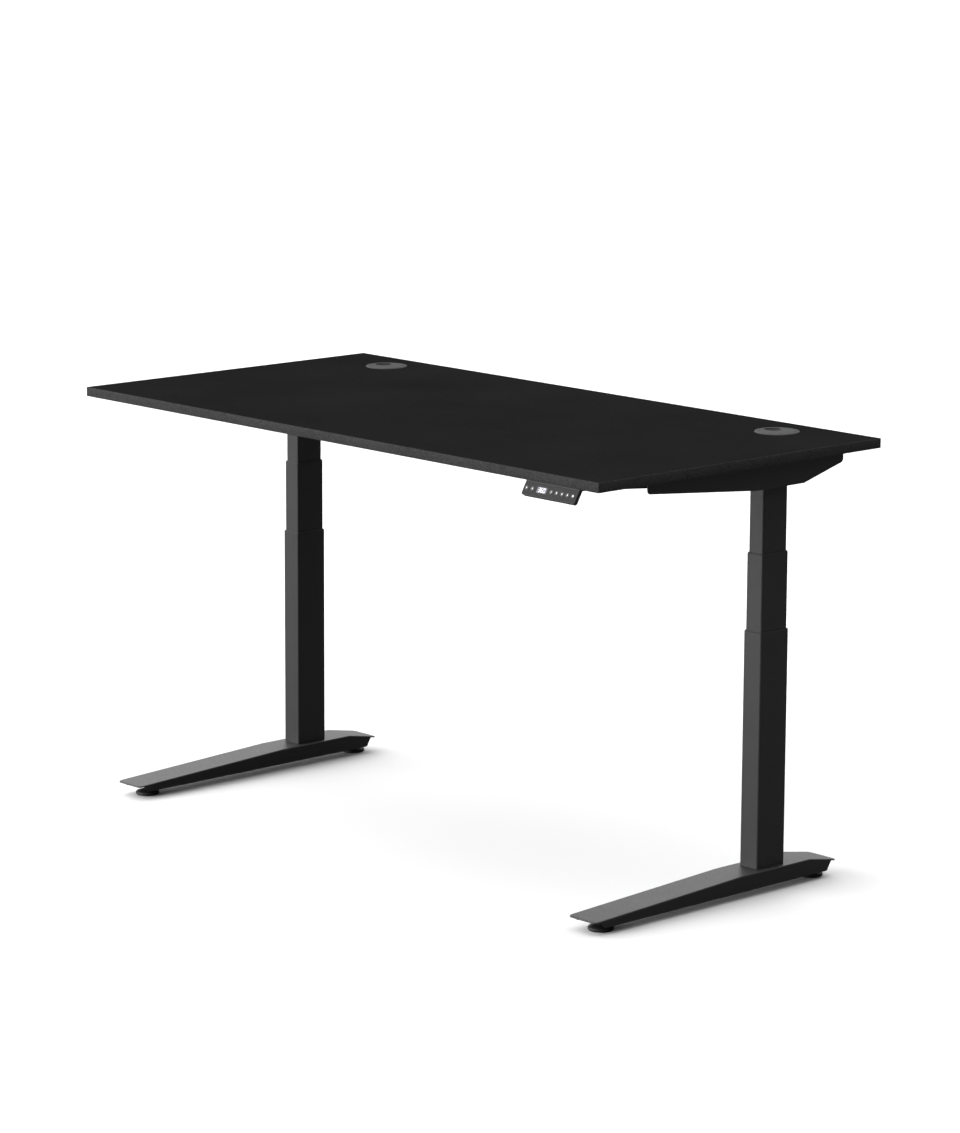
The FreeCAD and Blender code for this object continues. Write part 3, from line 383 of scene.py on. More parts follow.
@dataclass(frozen=True)
class CircuitBoard(Finish):
    """Green solder mask over copper tracks."""

    track: float = 2.4 * MM

    def dress(self, bench: NodeBench) -> None:
        """Build the finish's nodes.

        Args:
            bench: The bench that holds the new material.
        """
        brick = bench.node("ShaderNodeTexBrick")
        preset(brick, {"Scale": 0.25 / self.track, "Mortar Size": 0.03, "Mortar": (0.02, 0.15, 0.05, 1.0),
                       "Color1": (0.006, 0.06, 0.022, 1.0), "Color2": (0.009, 0.085, 0.03, 1.0)})
        bench.join(bench.place, brick.inputs["Vector"])
        bench.join(brick.outputs["Color"], bench.shader.inputs["Base Color"])
        bench.shine(bench.grain(6 * MM), 0.3, 0.42)
        bench.relief(brick.outputs["Fac"], 0.03 * MM)


@dataclass(frozen=True)
class DisplayWindow(Finish):
    """Smoked clear plastic over a dark display."""

    def dress(self, bench: NodeBench) -> None:
        """Build the finish's nodes.

        Args:
            bench: The bench that holds the new material.
        """
        smears = bench.grain(5 * MM, 3.0)
        bench.tint(smears, (0.030, 0.028, 0.040), (0.042, 0.039, 0.055))
        bench.shine(smears, 0.14, 0.24)
        bench.relief(smears, 0.004 * MM)
        bench.fixed({"Coat Weight": 0.5})


@dataclass(frozen=True)
class Print(Finish):
    """White printing or lit segments, with faint unevenness in the ink. Both glow: the segments as a lit
    display does, the printing with a painted glow.
    """

    colour: Colour = (0.9, 0.9, 0.9)
    # The default glow is for printed key ink, where it is a painted glow because print gives no light.
    glow: float = 0.6

    def dress(self, bench: NodeBench) -> None:
        """Build the finish's nodes.

        Args:
            bench: The bench that holds the new material.
        """
        ink = bench.grain(0.4 * MM)
        darker = tuple(0.86 * c for c in self.colour)
        bench.tint(ink, darker, self.colour)
        bench.shine(ink, 0.4, 0.5)
        bench.relief(ink, 0.005 * MM)
        # Emission: a lit display really glows, but on printed ink this is a painted glow.
        bench.shader.inputs["Emission Color"].default_value = (*self.colour, 1.0)
        bench.fixed({"Emission Strength": self.glow})


POWDER = Coating("satin_powder_coat", "powder_coat", dark=grey(0.021), light=grey(0.029),
                 rough=0.44, specular=0.42)
LAMINATE = Laminate("matt_laminate", "laminate")
EDGE = Coating("edge_strip_plastic", "edge_plastic", dark=grey(0.030), light=grey(0.068),
               grain_size=2.2 * MM, grain_depth=0.10 * MM, rough=0.6, specular=0.0, cloud_share=0.1)
GROMMET = Coating("grommet_moulding", "grommet_plastic", dark=grey(0.076), light=grey(0.094),
                  grain_size=0.7 * MM, rough=0.45, specular=0.0)
LEVELLER = Coating("leveller_moulding", "leveller_plastic", dark=grey(0.018), light=grey(0.026),
                   grain_size=0.9 * MM, rough=0.5, specular=0.4)
BUSH = Coating("bush_moulding", "bush_plastic", dark=grey(0.020), light=grey(0.028),
               grain_size=0.6 * MM, grain_depth=0.02 * MM, rough=0.4)
NUT = Coating("nut_moulding", "nut_plastic", dark=(0.55, 0.53, 0.47), light=(0.66, 0.64, 0.58),
              grain_size=0.8 * MM, grain_depth=0.03 * MM, rough=0.38)
BOX = Coating("box_moulding", "box_plastic", dark=grey(0.020), light=grey(0.030),
              grain_size=0.9 * MM, grain_depth=0.07 * MM, rough=0.5)
FASCIA = Coating("fascia_moulding", "fascia_plastic", dark=grey(0.032), light=grey(0.068),
                 grain_size=1.2 * MM, grain_depth=0.05 * MM, rough=0.55, specular=0.0, cloud_share=0.1)
KEY = Coating("key_moulding", "key_plastic", dark=grey(0.030), light=grey(0.042),
              grain_size=0.6 * MM, grain_depth=0.02 * MM, rough=0.42)
ZINC = Metal("zinc_plated_steel", "zinc_steel", lines=(1.0, 1.0, 1.0), line_size=0.5 * MM)
SCREW_STEEL = Metal("drawn_screw_steel", "screw_steel", dark=(0.34, 0.34, 0.34), light=(0.55, 0.55, 0.54))
MOTOR_STEEL = Metal("motor_can_steel", "motor_steel", dark=(0.10, 0.10, 0.105), light=(0.17, 0.17, 0.175),
                    lines=(1.0, 0.06, 1.0), rough=0.36)
CASTING = Casting("cast_alloy", "gearbox_casting")
CIRCUIT = CircuitBoard("solder_mask", "circuit_board")
WINDOW = DisplayWindow("smoked_window", "display_window")
# The key symbols keep the default glow, which is a painted glow on the printed ink.
SYMBOL = Print("key_symbol_ink", "key_plastic")
DIGIT = Print("display_segments", "display_window", colour=(0.80, 0.78, 0.95), glow=0.9)


# ---- mesh making


def circle(radius: float, height: float, count: int = 64) -> Ring:
    """A level circle of points at a height, counter-clockwise from +X."""
    turns = [2 * math.pi * i / count for i in range(count)]
    return [Vector((radius * math.cos(t), radius * math.sin(t), height)) for t in turns]


def hexagon(flats: float, height: float, count: int = 48) -> Ring:
    """A level hexagon with as many points as a circle.

    Args:
        flats: Distance across its flats.
        height: Its Z.
        count: Number of points, a multiple of 12.

    Returns:
        The points, counter-clockwise from +X.
    """
    ring = []
    for i in range(count):
        turn = 2 * math.pi * i / count
        off_flat = (turn % (math.pi / 3)) - math.pi / 6
        radius = flats / 2 / math.cos(off_flat)
        ring.append(Vector((radius * math.cos(turn), radius * math.sin(turn), height)))
    return ring


def rounded_rectangle(width: float, depth: float, corner: float, height: float, steps: int = 6) -> Ring:
    """A level rectangle with rounded corners.

    Args:
        width: Size along X.
        depth: Size along Y.
        corner: Corner radius.
        height: Its Z.
        steps: Points along each corner.

    Returns:
        The points, counter-clockwise.
    """
    ring = []
    for quarter, (sx, sy) in enumerate(((1, 1), (-1, 1), (-1, -1), (1, -1))):
        centre = Vector((sx * (width / 2 - corner), sy * (depth / 2 - corner), height))
        for i in range(steps + 1):
            turn = math.pi / 2 * (quarter + i / steps)
            ring.append(centre + Vector((corner * math.cos(turn), corner * math.sin(turn), 0)))
    return ring


def inset_rings(size: Vector, corner: float, profile: Outline, steps: int = 6) -> list[Ring]:
    """Rounded rectangles that step in from a full size, one for each pair of inset and height."""
    return [rounded_rectangle(size.x - 2 * inset, size.y - 2 * inset, max(corner - inset, HAIR), z, steps)
            for inset, z in profile]


def softened(soft: float, height: float, between: Outline = ()) -> list[tuple[float, float]]:
    """Pairs of inset and height for a wall whose lower and upper arrises are rounded."""
    rise = [(soft, 0), (0.3 * soft, 0.3 * soft), (0, soft)]
    return [*rise, *between, *((inset, height - z) for inset, z in reversed(rise))]


def thread(radius: float, depth: float, pitch: float, low: float, high: float,
           count: int = 24) -> list[Ring]:
    """Rings of a threaded rod whose ridge climbs as a helix.

    Args:
        radius: Radius over the ridges.
        depth: Depth of the thread.
        pitch: Climb for each turn.
        low: Z of the first ring.
        high: Z of the last ring.
        count: Points in each ring.

    Returns:
        The rings from bottom to top.
    """
    steps = max(2, round((high - low) / pitch * 6))
    rings = []
    for step in range(steps + 1):
        z = low + (high - low) * step / steps
        ring = []
        for i in range(count):
            phase = (z / pitch - i / count) % 1.0
            r = radius - depth * abs(2 * phase - 1)
            turn = 2 * math.pi * i / count
            ring.append(Vector((r * math.cos(turn), r * math.sin(turn), z)))
        rings.append(ring)
    return rings


class Blank:
    """A mesh in the making, in metres."""

    def __init__(self) -> None:
        """Start with nothing."""
        self.mesh = bmesh.new()

    def loft(self, rings: Sequence[Ring], placing: Matrix, looped: bool = False) -> None:
        """Skin a row of rings that have the same number of points.

        Args:
            rings: The rings in order.
            placing: Moves them into place.
            looped: Join the last ring to the first, for a hollow turned piece, and close no ends.
        """
        rows = [[self.mesh.verts.new(placing @ point) for point in ring] for ring in rings]
        pairs = list(zip(rows, rows[1:]))
        if looped:
            pairs.append((rows[-1], rows[0]))
        else:
            self.mesh.faces.new(list(reversed(rows[0])))
            self.mesh.faces.new(rows[-1])
        for lower, upper in pairs:
            for i in range(len(lower)):
                k = (i + 1) % len(lower)
                self.mesh.faces.new((lower[i], lower[k], upper[k], upper[i]))

    def turn(self, profile: Outline, placing: Matrix, looped: bool = False, count: int = 64) -> None:
        """Turn radius and height pairs about Z, as a loft with a number of points around it."""
        self.loft([circle(radius, height, count) for radius, height in profile], placing, looped)

    def plate(self, outline: Outline, low: float, high: float, placing: Matrix) -> None:
        """Add a flat plate between two heights, from a counter-clockwise outline."""
        self.loft([[Vector((x, y, z)) for x, y in outline] for z in (low, high)], placing)

    def copy_node(self, node: str) -> None:
        """Take in a frame node's mesh, welded, with its flat faces made whole.

        Args:
            node: The node's name.
        """
        self.mesh.from_mesh(frame["nodes"][node].data)
        bmesh.ops.remove_doubles(self.mesh, verts=self.mesh.verts, dist=WELD)
        bmesh.ops.dissolve_limit(self.mesh, angle_limit=math.radians(0.6),
                                 verts=self.mesh.verts, edges=self.mesh.edges)

    def finished(self, name: str) -> bpy.types.Mesh:
        """Close the work.

        Args:
            name: The mesh's name.

        Returns:
            The finished mesh, with all its faces turned outwards.
        """
        bmesh.ops.recalc_face_normals(self.mesh, faces=self.mesh.faces)
        made = bpy.data.meshes.new(name)
        self.mesh.to_mesh(made)
        self.mesh.free()
        return made


@dataclass
class Workshop:
    """Dresses frame nodes and fits new pieces to their bodies."""

    log: logging.Logger
    crease: float = math.radians(32)
    count: int = 0

    def dress(self, node: str, finish: Finish) -> None:
        """Give a frame node its finish.

        Args:
            node: The node's name.
            finish: Its finish.
        """
        shown = frame["nodes"][node]
        if not shown.material_slots:
            shown.data.materials.append(finish.material())
        for place in shown.material_slots:
            place.material = finish.material()
        self.count += 1
        self.log.info("dressed %s in %s", node, finish.name)

    def fit(self, name: str, blank: Blank, finish: Finish, node: str, added: bool = False,
            arris: float = 0.0) -> None:
        """Make a piece from a blank and fit it to a body.

        Args:
            name: The piece's name.
            blank: Its mesh in the making.
            finish: Its finish.
            node: The frame node that it replaces, or that it is added to.
            added: Leave that node as it is.
            arris: Width of the rounding along its sharp edges.
        """
        body = BODY_OF[node]
        stands_for = [] if added else [node]
        mesh = blank.finished(name)
        mesh.materials.append(finish.material())
        piece = placed(name, mesh)
        mesh.shade_smooth()
        if arris > 0:
            bevel = piece.modifiers.new("arris", "BEVEL")
            bevel.width = arris
            bevel.segments = 2
            bevel.limit_method = "ANGLE"
            bevel.angle_limit = self.crease
            bevel.use_clamp_overlap = False
            weigh = piece.modifiers.new("flat_faces", "WEIGHTED_NORMAL")
            weigh.keep_sharp = True
        mesh.set_sharp_from_angle(angle=self.crease)
        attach(piece, body)
        if stands_for:
            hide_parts(*stands_for)
        self.count += 1
        self.log.info("fitted %s to %s in %s", name, body, finish.name)

    def refine(self, node: str, name: str, finish: Finish, arris: float) -> None:
        """Replace a frame node by a copy of it with rounded arrises.

        Args:
            node: The node's name.
            name: The new piece's name.
            finish: Its finish.
            arris: Width of the rounding.
        """
        blank = Blank()
        blank.copy_node(node)
        self.fit(name, blank, finish, node, arris=arris)


def islands(node: str) -> list[Box]:
    """The boxes of a node's separate solids.

    Args:
        node: The node's name.

    Returns:
        The lowest and highest corner of each solid.
    """
    blank = bmesh.new()
    blank.from_mesh(frame["nodes"][node].data)
    bmesh.ops.remove_doubles(blank, verts=blank.verts, dist=WELD)
    left = set(blank.verts)
    boxes = []
    while left:
        reached = [left.pop()]
        corners = []
        while reached:
            vertex = reached.pop()
            corners.append(vertex.co.copy())
            for edge in vertex.link_edges:
                other = edge.other_vert(vertex)
                if other in left:
                    left.remove(other)
                    reached.append(other)
        boxes.append((Vector(map(min, *corners)), Vector(map(max, *corners))))
    blank.free()
    return sorted(boxes, key=lambda pair: tuple(round(value, 4) for value in pair[0]))


def centre_of(box: Box) -> Vector:
    """The middle of a box given by two corners."""
    return (box[0] + box[1]) / 2


def base_of(box: Box) -> Vector:
    """The middle of a box's lower face."""
    return Vector((*centre_of(box).xy, box[0].z))


@dataclass(frozen=True)
class Fastener:
    """A screw or bolt, drawn along +Z from its head's outer face, with an optional nut on its tip."""

    head_radius: float
    head_height: float
    shank_radius: float
    pitch: float
    socket_flats: float
    socket_depth: float
    hexagonal: bool = False
    nut_height: float = 0.0
    count: int = 24

    def head_ring(self, radius: float, height: float) -> Ring:
        """One ring of the head.

        Args:
            radius: Its radius, over the corners if the head is hexagonal.
            height: Its Z.

        Returns:
            The points.
        """
        if self.hexagonal:
            return hexagon(2 * radius * math.cos(math.pi / 6), height, self.count)
        return circle(radius, height, self.count)

    def make(self, blank: Blank, length: float, placing: Matrix) -> None:
        """Add the fastener to a blank.

        Args:
            blank: The mesh in the making.
            length: Whole length, head included.
            placing: Moves it into place.
        """
        soft = 0.15 * self.head_height
        rings = [hexagon(self.socket_flats, self.socket_depth, self.count),
                 hexagon(self.socket_flats, soft, self.count),
                 circle(0.62 * self.head_radius, 0, self.count),
                 circle(0.86 * self.head_radius, 0, self.count),
                 self.head_ring(self.head_radius, 1.5 * soft),
                 self.head_ring(self.head_radius, self.head_height),
                 circle(self.shank_radius, self.head_height, self.count)]
        end = length - self.nut_height
        rings += thread(self.shank_radius, 0.12 * self.shank_radius, self.pitch,
                        self.head_height + 2 * self.pitch, end, self.count)
        if self.nut_height:
            rings += [hexagon(1.73 * self.head_radius, end, self.count),
                      hexagon(1.73 * self.head_radius, length - soft, self.count),
                      circle(0.8 * self.head_radius, length, self.count)]
        else:
            rings.append(circle(0.7 * self.shank_radius, length, self.count))
        blank.loft(rings, placing)


def aimed(start: Vector, direction: Vector) -> Matrix:
    """Placing that puts the origin at a point and +Z along a direction."""
    return Matrix.Translation(start) @ direction.to_track_quat("Z", "Y").to_matrix().to_4x4()


def fasten(shop: Workshop, node: str, name: str, upright: Fastener, level: Fastener | None = None) -> None:
    """Replace a node's plain bolts or screws by threaded ones.

    Args:
        shop: The workshop that fits them.
        node: The node with the plain ones.
        name: The new piece's name.
        upright: Used for those along Z, with the head below.
        level: Used for those along X, with the head outside.
    """
    blank = Blank()
    for low, high in islands(node):
        size = high - low
        if level is None or size.z > size.x:
            upright.make(blank, size.z, aimed(base_of((low, high)), UP))
            continue
        middle = centre_of((low, high))
        outward = math.copysign(1.0, middle.x)
        start = Vector((high.x if outward > 0 else low.x, middle.y, middle.z))
        level.make(blank, size.x, aimed(start, Vector((-outward, 0, 0))))
    shop.fit(name, blank, ZINC, node)


# ---- sub-assemblies


@dataclass
class Leg:
    """One leg: foot, levellers, three-stage column and the drive inside it."""

    shop: Workshop
    side: Side
    tube_arris: float = 0.35 * MM
    foot_arris: float = 0.25 * MM
    grip_flutes: int = 30
    grip_depth: float = 0.35 * MM
    stud_pitch: float = 1.25 * MM
    stud_radius: float = 4.0 * MM
    screw_pitch: float = 4.0 * MM
    foot_bolt: Fastener = Fastener(7 * MM, 5 * MM, 4 * MM, 1.25 * MM, 5 * MM, 2.5 * MM, hexagonal=True)

    def build(self) -> None:
        """Build and dress every piece of the leg."""
        self.foot()
        self.column()
        self.drive()
        for end in ("front", "rear"):
            self.leveller(end)

    def foot(self) -> None:
        """The folded foot and the bolts under the column."""
        node = self.side.node("foot")
        self.shop.refine(node, node + "_pressing", POWDER, self.foot_arris)
        bolts = self.side.node("foot_bolts")
        fasten(self.shop, bolts, bolts + "_set", self.foot_bolt)

    def column(self) -> None:
        """The three tubes with their mouth bushes and glides."""
        for part in ("outer_tube", "middle_tube", "inner_tube"):
            node = self.side.node(part)
            self.shop.refine(node, node + "_section", POWDER, self.tube_arris)
        for part in ("outer_bush", "middle_bush"):
            node = self.side.node(part)
            self.shop.refine(node, node + "_ring", BUSH, self.tube_arris)
        for part in ("middle_glide", "inner_glide"):
            self.shop.dress(self.side.node(part), NUT)

    def drive(self) -> None:
        """The screws, nut and tubes that lift the column."""
        node = self.side.node("base_screw")
        low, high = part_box(node)
        middle = centre_of((low, high))
        radius = (high.x - low.x) / 2
        blank = Blank()
        blank.loft(thread(radius, 0.15 * radius, self.screw_pitch, low.z, high.z),
                   Matrix.Translation((middle.x, middle.y, 0)))
        self.shop.fit(node + "_thread", blank, SCREW_STEEL, node)
        self.shop.dress(self.side.node("lift_screw"), SCREW_STEEL)
        self.shop.dress(self.side.node("drive_tube"), SCREW_STEEL)
        self.shop.dress(self.side.node("nut_tube"), ZINC)
        self.shop.dress(self.side.node("lift_nut"), NUT)

    def leveller(self, end: str) -> None:
        """A domed pad with a fluted grip on a threaded stud.

        Args:
            end: Which end of the foot it stands under.
        """
        node = self.side.node(f"{end}_leveller")
        low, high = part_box(node)
        radius = (high.x - low.x) / 2
        step = radius / 26
        profile = [(0.2 * radius, 0.8 * step), (0.86 * radius, 0.8 * step), (0.88 * radius, 0.0),
                   (0.945 * radius, 0.25 * step), (0.985 * radius, 1.4 * step), (radius, 2.6 * step),
                   (radius, 5.2 * step), (0.985 * radius, 6.2 * step), (0.94 * radius, 7.4 * step),
                   (0.78 * radius, 8.8 * step), (0.5 * radius, 11.0 * step), (0.34 * radius, 11.6 * step),
                   (0.32 * radius, 12.4 * step)]
        rings = [self.fluted(r, z, radius) for r, z in profile]
        stud = self.stud_radius
        top = high.z - low.z
        count = len(rings[0])
        rings += thread(stud, 0.1 * stud, self.stud_pitch, 12.5 * step, top - 0.6 * MM, count)
        rings.append(circle(0.8 * stud, top, count))
        blank = Blank()
        blank.loft(rings, Matrix.Translation(base_of((low, high))))
        self.shop.fit(node + "_pad", blank, LEVELLER, node)

    def fluted(self, radius: float, height: float, rim: float) -> Ring:
        """A ring with flutes where it is near the rim.

        Args:
            radius: Radius over the ridges.
            height: Its Z.
            rim: Radius of the pad's rim, where the flutes are deepest.

        Returns:
            The points.
        """
        near_rim = max(0.0, 1 - abs(rim - radius) / (0.04 * rim))
        ring = circle(radius, height, 4 * self.grip_flutes)
        for i, point in enumerate(ring):
            dip = near_rim * self.grip_depth * (i % 4 == 2)
            point.xy *= (radius - dip) / radius
        return ring


@dataclass
class TopFrame:
    """Brackets, rails, gearboxes and motors under the desktop."""

    shop: Workshop
    bracket_arris: float = 0.45 * MM
    rail_arris: float = 1.0 * MM
    case_corner: float = 5 * MM
    case_soft: float = 1.2 * MM
    split_share: float = 0.55
    split_groove: float = 0.8 * MM
    motor_groove: float = 0.7 * MM
    bolt: Fastener = Fastener(5.5 * MM, 3.2 * MM, 3 * MM, 1 * MM, 4 * MM, 1.8 * MM)
    nutted_bolt: Fastener = Fastener(5.5 * MM, 3.2 * MM, 3 * MM, 1 * MM, 4 * MM, 1.8 * MM,
                                     nut_height=5 * MM)

    def build(self) -> None:
        """Build and dress every piece of the top frame."""
        for side in Side:
            node = side.node("bracket")
            self.shop.refine(node, node + "_pressing", POWDER, self.bracket_arris)
            self.gearbox(side)
            self.motor(side)
        for node in ("front_rail", "rear_rail"):
            self.shop.refine(node, node + "_section", POWDER, self.rail_arris)
        fasten(self.shop, "frame_bolts", "frame_bolt_set", self.bolt, self.nutted_bolt)

    def gearbox(self, side: Side) -> None:
        """A cast case in two halves, with a split line and soft edges.

        Args:
            side: Which column it stands on.
        """
        node = side.node("gearbox")
        low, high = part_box(node)
        size = high - low
        groove = self.split_groove
        split = self.split_share * size.z
        line = [(0, split - groove), (groove, split), (0, split + groove)]
        rings = inset_rings(size, self.case_corner, softened(self.case_soft, size.z, line))
        blank = Blank()
        blank.loft(rings, Matrix.Translation(base_of((low, high))))
        self.shop.fit(node + "_case", blank, CASTING, node)

    def motor(self, side: Side) -> None:
        """A round motor can with rolled ends and a bearing cap.

        Args:
            side: Which column it stands on.
        """
        node = side.node("motor")
        low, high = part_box(node)
        radius = (high.x - low.x) / 2
        length = high.y - low.y
        cap = 6 * MM
        can = length - cap
        soft = 1.5 * MM
        groove = self.motor_groove
        profile = [(radius - soft, 0), (radius, soft), (radius, 8 * MM), (radius - groove, 8.5 * MM),
                   (radius - groove, 10 * MM), (radius, 10.5 * MM), (radius, can - 11 * MM),
                   (radius - groove, can - 10.5 * MM), (radius - groove, can - 9 * MM),
                   (radius, can - 8.5 * MM), (radius, can - soft), (radius - soft, can),
                   (0.55 * radius, can), (0.46 * radius, can + 0.5 * MM),
                   (0.46 * radius, length - 0.8 * MM), (0.42 * radius, length)]
        blank = Blank()
        middle = centre_of((low, high))
        blank.turn(profile, aimed(Vector((middle.x, high.y, middle.z)), Vector((0, -1, 0))))
        self.shop.fit(node + "_can", blank, MOTOR_STEEL, node)


@dataclass
class Desktop:
    """The board with its edge strips, screws and cable grommets."""

    shop: Workshop
    band: float = 1.0 * MM
    arris: float = 0.4 * MM
    band_corner: float = 0.8 * MM
    hole_radius: float = 40 * MM
    liner_wall: float = 2 * MM
    ledge: float = 3 * MM
    lid_thickness: float = 3 * MM
    notch_width: float = 36 * MM
    notch_start: float = 3 * MM
    notch_angle: float = math.radians(155)
    wood_screw: Fastener = Fastener(5 * MM, 3 * MM, 2.5 * MM, 1.8 * MM, 3.6 * MM, 1.6 * MM)

    def build(self) -> None:
        """Build and dress every piece of the desktop."""
        self.shop.dress("desktop_board", LAMINATE)
        self.edge_band()
        self.liners()
        for side in Side:
            self.lid(side)
        fasten(self.shop, "desktop_screws", "desktop_screw_set", self.wood_screw)

    def edge_band(self) -> None:
        """The strips around the board, with rounded upper and lower arrises."""
        low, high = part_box("edge_band")
        size = high - low
        profile = [(self.band, 0), *softened(self.arris, size.z), (self.band, size.z)]
        rings = inset_rings(size, self.band_corner, profile, steps=4)
        blank = Blank()
        blank.loft(rings, Matrix.Translation(base_of((low, high))), looped=True)
        self.shop.fit("edge_strips", blank, EDGE, "edge_band")

    def liners(self) -> None:
        """Both cable hole liners, with a rounded flange and a ledge for the lid."""
        blank = Blank()
        for low, high in islands("grommet_liners"):
            flange = (high.x - low.x) / 2
            height = high.z - low.z
            board_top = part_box("desktop_board")[1].z - low.z
            bore = self.hole_radius - self.liner_wall
            ledge_top = height - self.lid_thickness - 0.2 * MM
            profile = [(bore, 0), (self.hole_radius, 0), (self.hole_radius, board_top),
                       (flange, board_top), (flange - 0.2 * MM, board_top + 0.7 * MM),
                       (flange - 0.9 * MM, height - 0.35 * MM), (flange - 2.2 * MM, height),
                       (bore + 0.5 * MM, height), (bore, height - 0.5 * MM), (bore, ledge_top),
                       (bore - self.ledge, ledge_top), (bore - self.ledge, ledge_top - 1.5 * MM),
                       (bore, ledge_top - 3 * MM)]
            blank.turn(profile, Matrix.Translation(base_of((low, high))), looped=True, count=96)
        self.shop.fit("grommet_liner_pair", blank, GROMMET, "grommet_liners")

    def lid_outline(self, radius: float) -> list[tuple[float, float]]:
        """Outline of a lid: a disc with a U-shaped notch that is open at the rim.

        Args:
            radius: The disc's radius.

        Returns:
            X and Y pairs, counter-clockwise.
        """
        half = self.notch_width / 2
        opening = math.asin(half / radius)
        rim = [opening + (2 * math.pi - 2 * opening) * i / 90 for i in range(91)]
        points = [(radius * math.cos(t), radius * math.sin(t)) for t in rim]
        middle = self.notch_start + half
        floor = [-math.pi / 2 - math.pi * i / 20 for i in range(21)]
        points += [(middle + half * math.cos(t), half * math.sin(t)) for t in floor]
        swing = Matrix.Rotation(self.notch_angle, 2)
        return [tuple(swing @ Vector(point)) for point in points]

    def lid(self, side: Side) -> None:
        """The turning lid of one grommet.

        Args:
            side: Which grommet it lies in.
        """
        node = side.node("grommet_lid")
        low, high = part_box(node)
        blank = Blank()
        outline = self.lid_outline((high.x - low.x) / 2)
        blank.plate(outline, 0, high.z - low.z, Matrix.Translation(base_of((low, high))))
        self.shop.fit(node + "_disc", blank, GROMMET, node, arris=0.4 * MM)


@dataclass
class ControlBox:
    """The control box under the desktop, with its board."""

    shop: Workshop
    arris: float = 0.6 * MM
    rib_count: int = 14
    rib_pitch: float = 9 * MM
    rib_width: float = 3 * MM
    rib_length: float = 56 * MM
    rib_height: float = 0.9 * MM
    rib_root: float = 0.2 * MM

    def build(self) -> None:
        """Build and dress the box and its board."""
        self.shop.refine("control_box", "control_box_case", BOX, self.arris)
        self.shop.dress("control_board", CIRCUIT)
        self.ribs()

    def ribs(self) -> None:
        """A row of cooling ribs under the box."""
        base = base_of(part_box("control_box"))
        crown = 0.3 * self.rib_height
        profile = [(crown, -self.rib_height), (0, crown - self.rib_height), (0, self.rib_root)]
        rings = inset_rings(Vector((self.rib_width, self.rib_length)), self.rib_width / 2 - HAIR, profile)
        blank = Blank()
        for i in range(self.rib_count):
            along = (i - (self.rib_count - 1) / 2) * self.rib_pitch
            blank.loft(rings, Matrix.Translation((base.x + along, base.y, base.z)))
        self.shop.fit("control_box_ribs", blank, BOX, "control_box", added=True)


class Glyph(Enum):
    """What is printed on each key."""

    DOWN = "down_key"
    UP = "up_key"
    ONE = "preset_1_key"
    TWO = "preset_2_key"
    THREE = "preset_3_key"
    FOUR = "preset_4_key"
    MEMORY = "memory_key"


